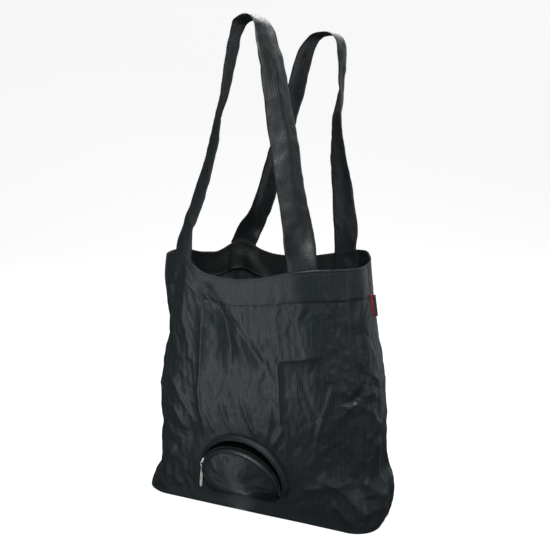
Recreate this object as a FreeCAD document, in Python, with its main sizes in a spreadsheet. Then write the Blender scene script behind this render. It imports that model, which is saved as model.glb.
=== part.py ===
import FreeCAD, Part
import Sketcher
import math
import os

# Foldable tote bag: two fabric panels joined at the sides and across the base, a hem facing,
# two flat shoulder straps, and a half-moon stow pouch with a curved zip on the front.
# Frame: millimetres, +Z up, front of the bag faces -Y, right is +X, origin at the centre of
# the base on the ground.

Vector = FreeCAD.Vector
X_AXIS, Y_AXIS, Z_AXIS = Vector(1, 0, 0), Vector(0, 1, 0), Vector(0, 0, 1)
CUT_REACH = 250.0  # half size of the plan windows, well beyond the bag

# Driving dimensions. "lift" is a distance outward from the pouch's panel, "radius" in the
# pouch is measured from the centre of its arch, and angles are in degrees.
DIMS = {
    # bag shell, outer sizes at four heights; the depth grows with the tilt of the panels
    "base_z": 0.0, "base_length": 356.0, "base_radius": 34.0,
    "low_z": 60.0, "low_length": 356.0, "low_radius": 44.0,
    "mid_z": 200.0, "mid_length": 346.0, "mid_radius": 70.0,
    "rim_z": 385.0, "rim_length": 326.0, "rim_radius": 94.0,
    "base_depth": 106.0, "panel_tilt": 6.5, "skin": 0.8, "seam_gap": 0.4,
    # hem facing and strap tails; hem_gap is from a facing's end to the seam plane
    "hem_tall": 45.0, "hem_step": 0.3, "hem_gap": 1.0,
    "tail_thick": 1.6, "tail_drop": 43.0, "tail_top": 1.5,
    # seam bindings
    "fin_wide": 7.0, "fin_thick": 1.6, "fin_step": 0.3, "fin_foot": 4.0, "fin_top_gap": 1.0,
    "base_fin_z": 1.1, "base_fin_end": 12.0,
    # straps
    "strap_wide": 44.0, "strap_thick": 1.6, "strap_base_x": 90.0, "strap_gap": 3.5,
    # labels
    "label_z": 312.0, "label_tall": 30.0, "label_out": 9.0, "label_thick": 1.2,
    "label_gap": 0.3,
    "care_z": 86.0, "care_tall": 38.0, "care_wide": 24.0, "care_thick": 0.6,
    "care_inset": 1.6, "care_y": 1.5,
    # pouch panels and gusset; gusset_gap is from the gusset to the front panel's back face
    "pouch_x": -19.0, "pouch_z": 21.0, "pouch_rise": 28.0, "pouch_lean": 8.0,
    "back_radius": 72.0, "back_lift": 0.3,
    "flap_radius": 62.1, "flap_tilt": 13.0, "flap_skin": 0.8, "flap_lift": 1.4,
    "gusset_skin": 0.8, "gusset_step": 0.2, "gusset_foot": 12.5, "gusset_lift": 2.5,
    "gusset_stock": 40.0, "gusset_gap": 0.3,
    # zip tapes
    "zip_radius": 67.5, "zip_from": 10.0, "zip_to": 170.0, "low_from": 22.0, "low_to": 148.0,
    "up_tape_in": 69.9, "up_tape_out": 72.6, "low_tape_in": 62.5, "low_tape_out": 65.1,
    "tape_thick": 0.8, "tape_lift": 2.5, "tape_over": 8.0,
    # zip teeth and their carrying strips, near and far edges measured from the zip's line
    "teeth_up": 70.0, "teeth_low": 55.0, "tooth_tall": 1.8, "tooth_lift": 2.3,
    "tooth_near": 0.7, "tooth_far": 1.7, "strip_near": 1.5, "strip_far": 2.2,
    # piping
    "pipe_radius": 1.8, "pipe_ring": 74.6, "pipe_lift": 3.4, "pipe_sweep": 178.0,
    # slider
    "park_angle": 160.0, "hang_turn": 14.0, "slider_wide": 8.4, "slider_deep": 10.4,
    "plate_low_lift": 1.35, "plate_thick": 0.75,
    "plate_top_lift": 4.4, "plate_top_thick": 1.0,
    "post_wide": 1.0, "post_share": 0.4, "post_bite": 0.3,
    "crown_wide": 2.2, "crown_deep": 6.4, "crown_tall": 3.4,
    "crown_slot_deep": 3.6, "crown_slot_tall": 2.2,
    # link and puller; pull_hole is a radius
    "link_wide": 5.6, "link_deep": 9.0, "link_wire": 1.0,
    "pull_wide": 5.0, "pull_deep": 37.0, "pull_thick": 1.5, "pull_head": 3.2,
    "pull_head_top": 2.0, "pull_neck": 4.0, "pull_shoulder": 6.5,
    "pull_bevel_wide": 1.6, "pull_bevel_tall": 3.0, "pull_hole": 0.8, "barrel_wall": 0.8,
    # stops and tabs at the zip's ends; the angles are those of the right-hand ones
    "stop_wide": 4.4, "stop_deep": 2.0, "stop_thick": 2.6, "stop_lift": 1.9,
    "stop_angle": 7.8,
    "tab_wide": 10.0, "tab_deep": 9.0, "tab_thick": 1.6, "tab_lift": 1.3,
    "tab_angle": -3.0, "tab_out": 1.0,
}

doc = FreeCAD.newDocument("foldable_tote_bag")
sheet = doc.addObject("Spreadsheet::Sheet", "dims")
for row, (alias, value) in enumerate(DIMS.items(), start=1):
    sheet.set("A%d" % row, alias)
    sheet.set("B%d" % row, repr(value))
    sheet.setAlias("B%d" % row, alias)
doc.recompute()

pieces = {}


def dim(alias):
    return float(getattr(sheet, alias))


def cell(alias):
    """Expression and present value of one dimension."""
    return "dims." + alias, dim(alias)


# ---- Shared modelling helpers ----

def add_piece(kind, label):
    """Document object that is exported under its label."""
    piece = doc.addObject(kind, label)
    piece.Label = label
    pieces[label] = piece
    return piece


def new_body(label):
    return add_piece("PartDesign::Body", label)


def new_sketch(body, name, role, offset=None):
    """Sketch on an origin plane. An XZ sketch faces -Y, so its offset and pads go outward."""
    sketch = body.newObject("Sketcher::SketchObject", name)
    plane = [f for f in body.Origin.OriginFeatures if f.Role == role][0]
    sketch.AttachmentSupport = [(plane, "")]
    sketch.MapMode = "FlatFace"
    if offset is not None:
        sketch.setExpression("AttachmentOffset.Base.z", offset)
    return sketch


# In constraints, geometry -1 and -2 are the sketch's axes, and points 1, 2 and 3 are the
# start, end and centre of a curve.

def constrain(sketch, *rows):
    sketch.addConstraint([Sketcher.Constraint(*row) for row in rows])


def drive(sketch, name, expression, *constraint):
    """Named dimension bound to an expression; the constraint ends with its present value."""
    sketch.addConstraint(Sketcher.Constraint(*constraint))
    sketch.renameConstraint(sketch.ConstraintCount - 1, name)
    sketch.setExpression("Constraints." + name, expression)


def line(start, end):
    return Part.LineSegment(Vector(*start, 0), Vector(*end, 0))


def polyline(points):
    return [line(a, b) for a, b in zip(points, points[1:])]


def arc(x, y, radius, start, end):
    circle = Part.Circle(Vector(x, y, 0), Z_AXIS, radius)
    return Part.ArcOfCircle(circle, math.radians(start), math.radians(end))


def rectangle(x0, y0, x1, y1):
    return [(x0, y0), (x1, y0), (x1, y1), (x0, y1)]


def add_polygon(sketch, points, fixed=()):
    """Closed polygon; the segments listed in fixed are blocked in place."""
    first, count = sketch.GeometryCount, len(points)
    sketch.addGeometry(polyline(points + points[:1]), False)
    joints = [("Coincident", first + i, 2, first + (i + 1) % count, 1) for i in range(count)]
    constrain(sketch, *joints, *[("Block", first + i) for i in fixed])


def add_pad(body, name, sketch, length_expr, midplane=False):
    pad = body.newObject("PartDesign::Pad", name)
    pad.Profile = sketch
    pad.setExpression("Length", length_expr)
    pad.Midplane = midplane
    doc.recompute()
    return pad


def cut_through(body, name, sketch):
    """Pocket through everything, to both sides of the sketch."""
    pocket = body.newObject("PartDesign::Pocket", name)
    pocket.Profile = sketch
    pocket.Type = 1  # through all
    pocket.Midplane = True
    doc.recompute()


# ---- Bag shell: panels, hem facings and strap tails ----

SECTIONS = ("base", "low", "mid", "rim")
DEPTH = "(dims.base_depth + 2 * (%s) * tan(dims.panel_tilt * 1 deg))"


def shell_size(z):
    """Outer length, depth and corner radius of the shell at height z."""
    for below, above in zip(SECTIONS, SECTIONS[1:]):
        z_below, z_above = dim(below + "_z"), dim(above + "_z")
        if z <= z_above + 1e-9:
            share = (z - z_below) / (z_above - z_below)
            length, radius = [
                dim(below + what) * (1 - share) + dim(above + what) * share
                for what in ("_length", "_radius")]
            depth = dim("base_depth") + 2 * z * math.tan(math.radians(dim("panel_tilt")))
            return length, depth, radius
    raise ValueError(z)


def between(z_expr, what):
    """Expression for a shell size between the mid and rim sections."""
    share = "(((%s) - dims.mid_z) / (dims.rim_z - dims.mid_z))" % z_expr
    return "dims.mid_{0} + (dims.rim_{0} - dims.mid_{0}) * {1}".format(what, share)


# An outline is (tag, sketch height expression, shell height expression, shell height,
# length expression, radius expression).

def panel_outlines(floor_expr):
    """The four shell sections, with the base one drawn at the floor height."""
    return [
        (name, floor_expr if name == "base" else "dims.%s_z" % name, "dims.%s_z" % name,
         dim(name + "_z"), "dims.%s_length" % name, "dims.%s_radius" % name)
        for name in SECTIONS]


def band_outlines(low_drop, high_drop):
    """Two shell outlines, each a named drop below the rim."""
    outlines = []
    for tag, drop in (("a", low_drop), ("b", high_drop)):
        z_expr = "dims.rim_z - dims." + drop
        outlines.append((tag, z_expr, z_expr, dim("rim_z") - dim(drop),
                         between(z_expr, "length"), between(z_expr, "radius")))
    return outlines


def rounded(body, name, outline, inset):
    """Centred horizontal rounded rectangle, inset from the shell by the sum of some cells."""
    _, plane_expr, z_expr, z, length_expr, radius_expr = outline
    inset_expr = " + ".join("dims." + alias for alias in inset) or "0"
    inset_size = sum(dim(alias) for alias in inset)
    length, depth, radius = shell_size(z)
    half_x, half_y = length / 2 - inset_size, depth / 2 - inset_size
    radius -= inset_size
    flat_x, flat_y = half_x - radius, half_y - radius
    sketch = new_sketch(body, name, "XY_Plane", plane_expr)
    sketch.addGeometry([
        line((-flat_x, -half_y), (flat_x, -half_y)), arc(flat_x, -flat_y, radius, 270, 360),
        line((half_x, -flat_y), (half_x, flat_y)), arc(flat_x, flat_y, radius, 0, 90),
        line((flat_x, half_y), (-flat_x, half_y)), arc(-flat_x, flat_y, radius, 90, 180),
        line((-half_x, flat_y), (-half_x, -flat_y)), arc(-flat_x, -flat_y, radius, 180, 270),
    ], False)
    constrain(
        sketch, *[("Tangent", i, 2, (i + 1) % 8, 1) for i in range(8)],
        ("Symmetric", 0, 1, 0, 2, -2), ("Symmetric", 2, 1, 2, 2, -1),
        ("Horizontal", 4), ("Vertical", 6),
        ("Equal", 1, 3), ("Equal", 3, 5), ("Equal", 5, 7))
    drive(sketch, "halfLen", "(%s - 2 * (%s)) / 2" % (length_expr, inset_expr),
          "DistanceX", -1, 1, 2, 1, half_x)
    drive(sketch, "halfDep", "(%s - 2 * (%s)) / 2" % (DEPTH % z_expr, inset_expr),
          "DistanceY", 0, 1, -1, 1, half_y)
    drive(sketch, "corner", "%s - (%s)" % (radius_expr, inset_expr), "Radius", 1, radius)
    return sketch


def shell_part(label, outer, inner, inset, thick, cut_name, windows):
    """Hollow loft that follows the shell, less the given (x0, y0, x1, y1) plan windows."""
    body = new_body(label)
    for tag, name, kind, outlines, total_inset in (
            ("out", "outer", "AdditiveLoft", outer, inset),
            ("in", "inner", "SubtractiveLoft", inner, inset + thick)):
        sketches = [rounded(body, "%s_%s_%s" % (label, tag, outline[0]), outline, total_inset)
                    for outline in outlines]
        loft = body.newObject("PartDesign::" + kind, "%s_%s" % (label, name))
        loft.Profile = sketches[0]
        loft.Sections = sketches[1:]
        loft.Ruled = True
        doc.recompute()
    name = "%s_%s" % (label, cut_name)
    sketch = new_sketch(body, name + "_sketch", "XY_Plane")
    for window in windows:
        first = sketch.GeometryCount
        add_polygon(sketch, rectangle(*window))
        constrain(sketch, *[("Block", first + i) for i in range(4)])
    cut_through(body, name, sketch)


def other_half(front, gap):
    """Plan window that clears the opposite half and a gap on this side of the seam plane."""
    if front:
        return (-CUT_REACH, -gap, CUT_REACH, CUT_REACH)
    return (-CUT_REACH, -CUT_REACH, CUT_REACH, gap)


def panel(side, front):
    """Face, half of both sides and half of the base, up to the seam plane."""
    shell_part(side + "_panel", panel_outlines("dims.base_z"), panel_outlines("dims.skin"),
               (), ("skin",), "seam_cut", [other_half(front, dim("seam_gap") / 2)])


def hem_facing(side, front):
    """Band inside the rim of one panel."""
    outlines = band_outlines("hem_tall", "skin")
    shell_part(side + "_hem_facing", outlines, outlines, ("skin", "hem_step"), ("skin",),
               "cut", [other_half(front, dim("hem_gap"))])


def strap_tails(side, front):
    """The two ends of one strap, flat against the inside of the hem facing."""
    outlines = band_outlines("tail_drop", "tail_top")
    near = dim("strap_base_x") - dim("strap_wide") / 2
    far = dim("strap_base_x") + dim("strap_wide") / 2
    _, y_low, _, y_high = other_half(front, 0)
    windows = [
        (-CUT_REACH, -CUT_REACH, -far, CUT_REACH), (-near, -CUT_REACH, near, CUT_REACH),
        (far, -CUT_REACH, CUT_REACH, CUT_REACH),
        (-far, y_low, -near, y_high), (near, y_low, far, y_high)]
    shell_part(side + "_strap_tails", outlines, outlines, ("skin", "hem_step") * 2,
               ("tail_thick",), "cut", windows)


for side, front in (("front", True), ("back", False)):
    panel(side, front)
    hem_facing(side, front)
    strap_tails(side, front)


# ---- Flat pieces on the seam plane: bindings and labels ----

def flat_piece(label, points, thick_expr, drives, midplane=True):
    """Upright plate of (x, z) points; drives are (segment, constraint kind, expression)."""
    body = new_body(label)
    sketch = new_sketch(body, label + "_sketch", "XZ_Plane")
    add_polygon(sketch, points)
    for number, (segment, kind, expression) in enumerate(drives):
        axis = 0 if kind == "DistanceX" else 1
        size = points[(segment + 1) % len(points)][axis] - points[segment][axis]
        first, second = (1, 2) if size > 0 else (2, 1)
        drive(sketch, "size%d" % number, expression,
              kind, segment, first, segment, second, abs(size))
    add_pad(body, label + "_pad", sketch, thick_expr, midplane)
    return body


def wall_x(z, inset):
    """Distance of the side wall from the middle at height z, less an inset."""
    return shell_size(z)[0] / 2 - inset


def side_binding(label, side):
    """Strip standing inward along one side seam, below the hem facing."""
    inset = dim("skin") + dim("fin_step")
    top = dim("rim_z") - dim("hem_tall") - dim("fin_top_gap")
    levels = [dim("fin_foot"), dim("low_z"), dim("mid_z"), top]
    outer = [(side * wall_x(z, inset), z) for z in levels]
    inner = [(side * (wall_x(z, inset) - dim("fin_wide")), z) for z in reversed(levels)]
    flat_piece(label, outer + inner, "dims.fin_thick", [(3, "DistanceX", "dims.fin_wide")])


def base_binding():
    """Strip standing up along the base seam."""
    half, z = dim("base_length") / 2 - dim("base_fin_end"), dim("base_fin_z")
    flat_piece(
        "base_seam_binding", rectangle(-half, z, half, z + dim("fin_wide")), "dims.fin_thick",
        [(1, "DistanceY", "dims.fin_wide"),
         (0, "DistanceX", "dims.base_length - 2 * dims.base_fin_end")])


def side_label():
    """Tab label standing out from the right side seam."""
    low, out = dim("label_z"), dim("label_out")
    high = low + dim("label_tall")
    x_low, x_high = [wall_x(z, -dim("label_gap")) for z in (low, high)]
    flat_piece(
        "side_label", [(x_low, low), (x_low + out, low), (x_high + out, high), (x_high, high)],
        "dims.label_thick",
        [(0, "DistanceX", "dims.label_out"), (1, "DistanceY", "dims.label_tall")])


def care_label():
    """Plain label inside the left side wall, just behind the seam plane."""
    low = dim("care_z")
    high = low + dim("care_tall")
    x_low, x_high = [-wall_x(z, dim("care_inset")) for z in (low, high)]
    x_free = x_low + dim("care_wide")
    label = flat_piece(
        "care_label", [(x_low, low), (x_free, low), (x_free, high), (x_high, high)],
        "dims.care_thick",
        [(0, "DistanceX", "dims.care_wide"), (1, "DistanceY", "dims.care_tall")],
        midplane=False)
    label.Placement = shift(y=dim("care_y") + dim("care_thick"))


def shift(x=0, y=0, z=0):
    return FreeCAD.Placement(Vector(x, y, z), FreeCAD.Rotation())


def turn(axis, angle):
    return FreeCAD.Placement(Vector(0, 0, 0), FreeCAD.Rotation(axis, angle))


side_binding("right_seam_binding", 1)
side_binding("left_seam_binding", -1)
base_binding()
side_label()
care_label()


# ---- Shoulder straps ----

# Stations from the right end, over the top, to the left end. Columns: x and y of the
# centreline, height above the strap's root, and the turn of the width direction in degrees
# from +X towards +Y.
FRONT_PATH = [
    (90, -88.8, 0, 16), (87, -89.5, 38, 26), (81, -89.5, 78, 38), (73, -89, 118, 47),
    (64, -88.5, 167, 54), (54, -88, 222, 62), (43, -87, 272, 71), (33.5, -86.5, 304, 79),
    (28, -86.2, 319, 84), (14, -86, 328, 90), (0.5, -86.2, 318, 95), (-5, -86.3, 301, 98),
    (-14, -86.5, 272, 100), (-24, -87, 232, 108), (-36, -88, 184, 122),
    (-52, -88.5, 137, 134), (-69, -89, 87, 143), (-83, -89.5, 43, 153),
    (-90, -88.8, 0, 164),
]
BACK_PATH = [
    (90, 88.8, 0, -16), (87, 89.5, 38, -14), (83, 89.5, 78, -20), (79, 89, 118, -32),
    (75.5, 88.5, 165, -46), (74, 88, 218, -60), (76, 87, 268, -76), (74, 86.5, 297, -84),
    (66, 86.2, 315, -88), (48, 86, 323, -92), (29, 86.2, 315, -95), (17, 86.4, 297, -98),
    (9, 86.6, 272, -101), (-1, 87, 236, -106), (-14, 88, 193, -112),
    (-33, 88.5, 143, -119), (-55, 89, 91, -128), (-77, 89.5, 41, -143),
    (-90, 88.8, 0, -164),
]


def strap(label, path):
    """Flat band that rises from both roots, twisting on the way up each leg.

    Neither a loft nor a sweep keeps the turn of so thin a band, so its four edges are drawn
    as curves and the faces are ruled between them.
    """
    half_wide, half_thick = dim("strap_wide") / 2, dim("strap_thick") / 2
    root = dim("rim_z") + dim("strap_gap")
    scale = dim("strap_base_x") / path[0][0]
    centres = [Vector(x * scale, y, z + root) for x, y, z, _ in path]
    last = len(path) - 1
    rails = [[], [], [], []]
    for i, centre in enumerate(centres):
        if i in (0, last):
            tangent = Vector(0, 0, 1 if i == 0 else -1)
        else:
            tangent = centres[i + 1] - centres[i - 1]
            tangent.normalize()
        angle = math.radians(path[i][3])
        width = Vector(math.cos(angle), math.sin(angle), 0)
        width = width - tangent * width.dot(tangent)
        width.normalize()
        normal = tangent.cross(width)
        for rail, (u, v) in zip(rails, ((-1, -1), (1, -1), (1, 1), (-1, 1))):
            rail.append(centre + width * (u * half_wide) + normal * (v * half_thick))
    edges = []
    for rail in rails:
        curve = Part.BSplineCurve()
        curve.interpolate(Points=rail, Parameters=[float(n) for n in range(len(rail))])
        edges.append(curve.toShape())
    faces = [Part.makeRuledSurface(edges[k], edges[(k + 1) % 4]) for k in range(4)]
    for end in (0, -1):
        loop = [rail[end] for rail in rails]
        faces.append(Part.Face(Part.makePolygon(loop + [loop[0]])))
    shell = Part.makeShell(faces)
    shell.sewShape()
    solid = Part.makeSolid(Part.Shell(shell.Faces))
    if solid.Volume < 0:  # the sewn faces may point inward
        solid.reverse()
    add_piece("Part::Feature", label).Shape = solid


strap("front_strap", FRONT_PATH)
strap("back_strap", BACK_PATH)


# ---- Stow pouch ----
# Drawn in the panel's own plane: x across, z up from the pouch's lower edge, -y outward.
# The centre of the arch is on the z axis, at height rise.

rise = dim("pouch_rise")
zip_radius = dim("zip_radius")


def arch_point(radius, angle):
    angle = math.radians(angle)
    return radius * math.cos(angle), rise + radius * math.sin(angle)


def arch_axis(body, label):
    """Sketch line through the arch's centre, square to the panel."""
    sketch = new_sketch(body, label + "_axis", "XY_Plane", "dims.pouch_rise")
    sketch.addGeometry([line((0, 0), (0, 10))], False)
    constrain(sketch, ("Coincident", 0, 1, -1, 1), ("Vertical", 0))
    return sketch, ["Edge1"]


def half_moon(label, lift_expr, radius_alias, thick_expr):
    """Plate with an arch on straight sides, closed by a straight lower edge."""
    body = new_body(label)
    radius_expr, radius = cell(radius_alias)
    sketch = new_sketch(body, label + "_sketch", "XZ_Plane", lift_expr)
    outline = polyline([(-radius, rise), (-radius, 0), (radius, 0), (radius, rise)])
    sketch.addGeometry([arc(0, rise, radius, 0, 180)] + outline, False)
    constrain(
        sketch, ("Tangent", 0, 2, 1, 1), ("Coincident", 1, 2, 2, 1),
        ("Coincident", 2, 2, 3, 1), ("Tangent", 3, 2, 0, 1),
        ("Vertical", 3), ("Horizontal", 2), ("PointOnObject", 0, 3, -2))
    drive(sketch, "arch", radius_expr, "Radius", 0, radius)
    drive(sketch, "rise", "dims.pouch_rise", "DistanceY", -1, 1, 0, 3, rise)
    constrain(sketch, ("PointOnObject", 2, 1, -1))
    add_pad(body, label + "_pad", sketch, thick_expr)


def arc_band(body, name, lift_expr, inner, outer, start, end, thick_expr):
    """Ring sector about the arch's centre; inner and outer are (expression, radius)."""
    inner_expr, inner_radius = inner
    outer_expr, outer_radius = outer
    sketch = new_sketch(body, name + "_sketch", "XZ_Plane", lift_expr)
    sketch.addGeometry([
        arc(0, rise, outer_radius, start, end),
        line(arch_point(outer_radius, end), arch_point(inner_radius, end)),
        arc(0, rise, inner_radius, start, end),
        line(arch_point(inner_radius, start), arch_point(outer_radius, start)),
    ], False)
    constrain(
        sketch, ("Coincident", 0, 2, 1, 1), ("Coincident", 1, 2, 2, 2),
        ("Coincident", 2, 1, 3, 1), ("Coincident", 3, 2, 0, 1),
        ("Coincident", 0, 3, 2, 3), ("PointOnObject", 0, 3, -2))
    drive(sketch, "outer", outer_expr, "Radius", 0, outer_radius)
    drive(sketch, "inner", inner_expr, "Radius", 2, inner_radius)
    drive(sketch, "rise", "dims.pouch_rise", "DistanceY", -1, 1, 0, 3, rise)
    constrain(sketch, ("Block", 1), ("Block", 3))
    add_pad(body, name + "_pad", sketch, thick_expr)


def zip_tape(label, prefix, start, end):
    arc_band(new_body(label), label, "dims.tape_lift", cell(prefix + "_in"),
             cell(prefix + "_out"), start, end, "dims.tape_thick")


def zip_teeth(label, start, end, count_alias, side):
    """Thin carrying strip with one tooth repeated along it; side is +1 outside the zip line."""
    body = new_body(label)
    sign = "+" if side > 0 else "-"
    strip = [("dims.zip_radius %s dims.%s" % (sign, alias), zip_radius + side * dim(alias))
             for alias in ("strip_near", "strip_far")]
    inner, outer = sorted(strip, key=lambda edge: edge[1])
    arc_band(body, label + "_strip", "dims.tooth_lift", inner, outer, start, end,
             "dims.tooth_tall")

    count = int(dim(count_alias))
    pitch = (end - start) / count
    tooth_start, tooth_end = start + 0.25 * pitch, start + 0.75 * pitch
    low, high = sorted(zip_radius + side * dim(alias) for alias in ("tooth_near", "tooth_far"))
    sketch = new_sketch(body, label + "_tooth_sketch", "XZ_Plane", "dims.tooth_lift")
    add_polygon(sketch, [
        arch_point(low, tooth_start), arch_point(high, tooth_start),
        arch_point(high, tooth_end), arch_point(low, tooth_end)], fixed=range(4))
    tooth = add_pad(body, label + "_tooth", sketch, "dims.tooth_tall")

    axis = arch_axis(body, label)
    pattern = body.newObject("PartDesign::PolarPattern", label + "_row")
    pattern.Originals = [tooth]
    pattern.Axis = axis
    pattern.Angle = (end - start) * (count - 1) / count
    pattern.setExpression("Occurrences", "dims." + count_alias)
    pattern.Reversed = True
    body.Tip = pattern
    doc.recompute()


def piping():
    """Round cord along the outer edge of the bag-side tape."""
    label = "pouch_piping"
    body = new_body(label)
    radius, ring, lift = dim("pipe_radius"), dim("pipe_ring"), dim("pipe_lift")
    sketch = new_sketch(body, label + "_sketch", "YZ_Plane")
    sketch.addGeometry([Part.Circle(Vector(-lift, rise + ring, 0), Z_AXIS, radius)], False)
    drive(sketch, "cord", "dims.pipe_radius", "Radius", 0, radius)
    drive(sketch, "lift", "dims.pipe_lift", "DistanceX", 0, 3, -1, 1, lift)
    drive(sketch, "ring", "dims.pouch_rise + dims.pipe_ring",
          "DistanceY", -1, 1, 0, 3, rise + ring)
    axis = arch_axis(body, label)
    cord = body.newObject("PartDesign::Revolution", label + "_cord")
    cord.Profile = sketch
    cord.ReferenceAxis = axis
    cord.Angle = dim("pipe_sweep")
    cord.Midplane = True
    doc.recompute()


def gusset():
    """Arched band between the zip and the pouch front, trimmed to the front's slope."""
    label = "pouch_gusset"
    body = new_body(label)
    outer = dim("flap_radius") - dim("gusset_step")
    inner = outer - dim("gusset_skin")
    foot = dim("gusset_foot")
    sketch = new_sketch(body, label + "_sketch", "XZ_Plane", "dims.gusset_lift")
    left = polyline([(-outer, rise), (-outer, foot), (-inner, foot), (-inner, rise)])
    right = polyline([(inner, rise), (inner, foot), (outer, foot), (outer, rise)])
    sketch.addGeometry(
        [arc(0, rise, outer, 0, 180)] + left + [arc(0, rise, inner, 0, 180)] + right, False)
    constrain(
        sketch, ("Tangent", 0, 2, 1, 1), ("Coincident", 1, 2, 2, 1),
        ("Coincident", 2, 2, 3, 1), ("Tangent", 3, 2, 4, 2),
        ("Tangent", 4, 1, 5, 1), ("Coincident", 5, 2, 6, 1),
        ("Coincident", 6, 2, 7, 1), ("Tangent", 7, 2, 0, 1),
        ("Coincident", 0, 3, 4, 3), ("PointOnObject", 0, 3, -2),
        ("Horizontal", 2), ("Horizontal", 6), ("Vertical", 7), ("Vertical", 3))
    outer_expr = "dims.flap_radius - dims.gusset_step"
    drive(sketch, "outer", outer_expr, "Radius", 0, outer)
    drive(sketch, "inner", outer_expr + " - dims.gusset_skin", "Radius", 4, inner)
    drive(sketch, "rise", "dims.pouch_rise", "DistanceY", -1, 1, 0, 3, rise)
    drive(sketch, "foot_a", "dims.gusset_foot", "DistanceY", -1, 1, 2, 1, foot)
    drive(sketch, "foot_b", "dims.gusset_foot", "DistanceY", -1, 1, 6, 1, foot)
    add_pad(body, label + "_pad", sketch, "dims.gusset_stock")

    # Side view of the waste in front of the sloping edge, larger than the gusset.
    waste_tall, waste_out = 120, 90
    slope = math.tan(math.radians(dim("flap_tilt")))
    edge = dim("flap_lift") - dim("gusset_gap")
    wedge = new_sketch(body, label + "_wedge", "YZ_Plane")
    add_polygon(wedge, [
        (-edge, 0), (-edge - waste_tall * slope, waste_tall),
        (-waste_out, waste_tall), (-waste_out, 0)], fixed=(1, 2, 3))
    cut_through(body, label + "_trim", wedge)


half_moon("pouch_back_panel", "dims.back_lift", "back_radius", "dims.skin")
half_moon("pouch_front_panel", "0", "flap_radius", "dims.flap_skin")
zip_tape("zip_tape_bag_side", "up_tape",
         dim("zip_from") - dim("tape_over"), dim("zip_to") + dim("tape_over"))
zip_tape("zip_tape_pouch_side", "low_tape", dim("low_from"), dim("low_to"))
zip_teeth("zip_teeth_bag_side", dim("zip_from"), dim("zip_to"), "teeth_up", 1)
zip_teeth("zip_teeth_pouch_side", dim("low_from"), dim("low_to"), "teeth_low", -1)
piping()
gusset()


# ---- Zip slider, link and puller, each drawn at the origin ----

def slider_block(body, name, lift_expr, wide, deep, thick_expr):
    """Centred block on the slider; wide and deep are (expression, size)."""
    sketch = new_sketch(body, name + "_sketch", "XZ_Plane", lift_expr)
    half_x, half_z = wide[1] / 2, deep[1] / 2
    add_polygon(sketch, rectangle(-half_x, -half_z, half_x, half_z))
    constrain(sketch, ("Horizontal", 0), ("Vertical", 1), ("Horizontal", 2), ("Vertical", 3),
              ("Symmetric", 0, 1, 2, 1, -1, 1))
    drive(sketch, "wide", wide[0], "DistanceX", 0, 1, 0, 2, wide[1])
    drive(sketch, "deep", deep[0], "DistanceY", 1, 1, 1, 2, deep[1])
    add_pad(body, name, sketch, thick_expr)


def slider():
    """Two plates on a post, with a slotted crown: x along the radius, z along the zip."""
    body = new_body("zip_slider")
    wide, deep = cell("slider_wide"), cell("slider_deep")
    post_deep = ("dims.slider_deep * dims.post_share", dim("slider_deep") * dim("post_share"))
    crown_expr = "dims.plate_top_lift + dims.plate_top_thick"
    crown_lift = dim("plate_top_lift") + dim("plate_top_thick")
    slider_block(body, "slider_low_plate", "dims.plate_low_lift", wide, deep,
                 "dims.plate_thick")
    slider_block(body, "slider_post", "dims.plate_low_lift", cell("post_wide"), post_deep,
                 "dims.plate_top_lift - dims.plate_low_lift + dims.post_bite")
    slider_block(body, "slider_top_plate", "dims.plate_top_lift", wide, deep,
                 "dims.plate_top_thick")
    slider_block(body, "slider_crown", crown_expr, cell("crown_wide"), cell("crown_deep"),
                 "dims.crown_tall")

    # Slot through the crown for the link's bar.
    slot_deep, slot_tall = dim("crown_slot_deep"), dim("crown_slot_tall")
    sketch = new_sketch(body, "slider_slot_sketch", "YZ_Plane")
    add_polygon(sketch, rectangle(
        -crown_lift - slot_tall, -slot_deep / 2, -crown_lift, slot_deep / 2))
    constrain(sketch, ("Horizontal", 0), ("Horizontal", 2), ("Vertical", 3),
              ("Symmetric", 1, 1, 1, 2, -1))
    drive(sketch, "tall", "dims.crown_slot_tall", "DistanceX", 0, 1, 0, 2, slot_tall)
    drive(sketch, "deep", "dims.crown_slot_deep", "DistanceY", 1, 1, 1, 2, slot_deep)
    drive(sketch, "lift", crown_expr, "DistanceX", 1, 1, -1, 1, crown_lift)
    cut_through(body, "slider_slot", sketch)


def link():
    """Small rectangular ring; its near bar lies on the origin, its far bar hangs below."""
    body = new_body("pull_link")
    wide, deep, wire = dim("link_wide"), dim("link_deep"), dim("link_wire")
    half, top = wide / 2, wire / 2
    sketch = new_sketch(body, "pull_link_sketch", "XZ_Plane", "-dims.link_wire / 2")
    add_polygon(sketch, rectangle(-half, top - deep, half, top))
    add_polygon(sketch, rectangle(-half + wire, top - deep + wire, half - wire, top - wire))
    constrain(sketch, *[("Vertical" if i % 2 else "Horizontal", i) for i in range(8)])
    for name, expression, *constraint in (
            ("half", "dims.link_wide / 2", "DistanceX", 2, 2, -1, 1, half),
            ("wide", "dims.link_wide", "DistanceX", 0, 1, 0, 2, wide),
            ("deep", "dims.link_deep", "DistanceY", 1, 1, 1, 2, deep),
            ("near", "dims.link_wire / 2", "DistanceY", -1, 1, 1, 2, top),
            ("wire_a", "dims.link_wire", "DistanceX", 0, 1, 4, 1, wire),
            ("wire_b", "dims.link_wire", "DistanceY", 0, 1, 4, 1, wire),
            ("wire_c", "dims.link_wire", "DistanceX", 6, 1, 2, 1, wire),
            ("wire_d", "dims.link_wire", "DistanceY", 6, 1, 2, 1, wire)):
        drive(sketch, name, expression, *constraint)
    add_pad(body, "pull_link_ring", sketch, "dims.link_wire")


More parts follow.
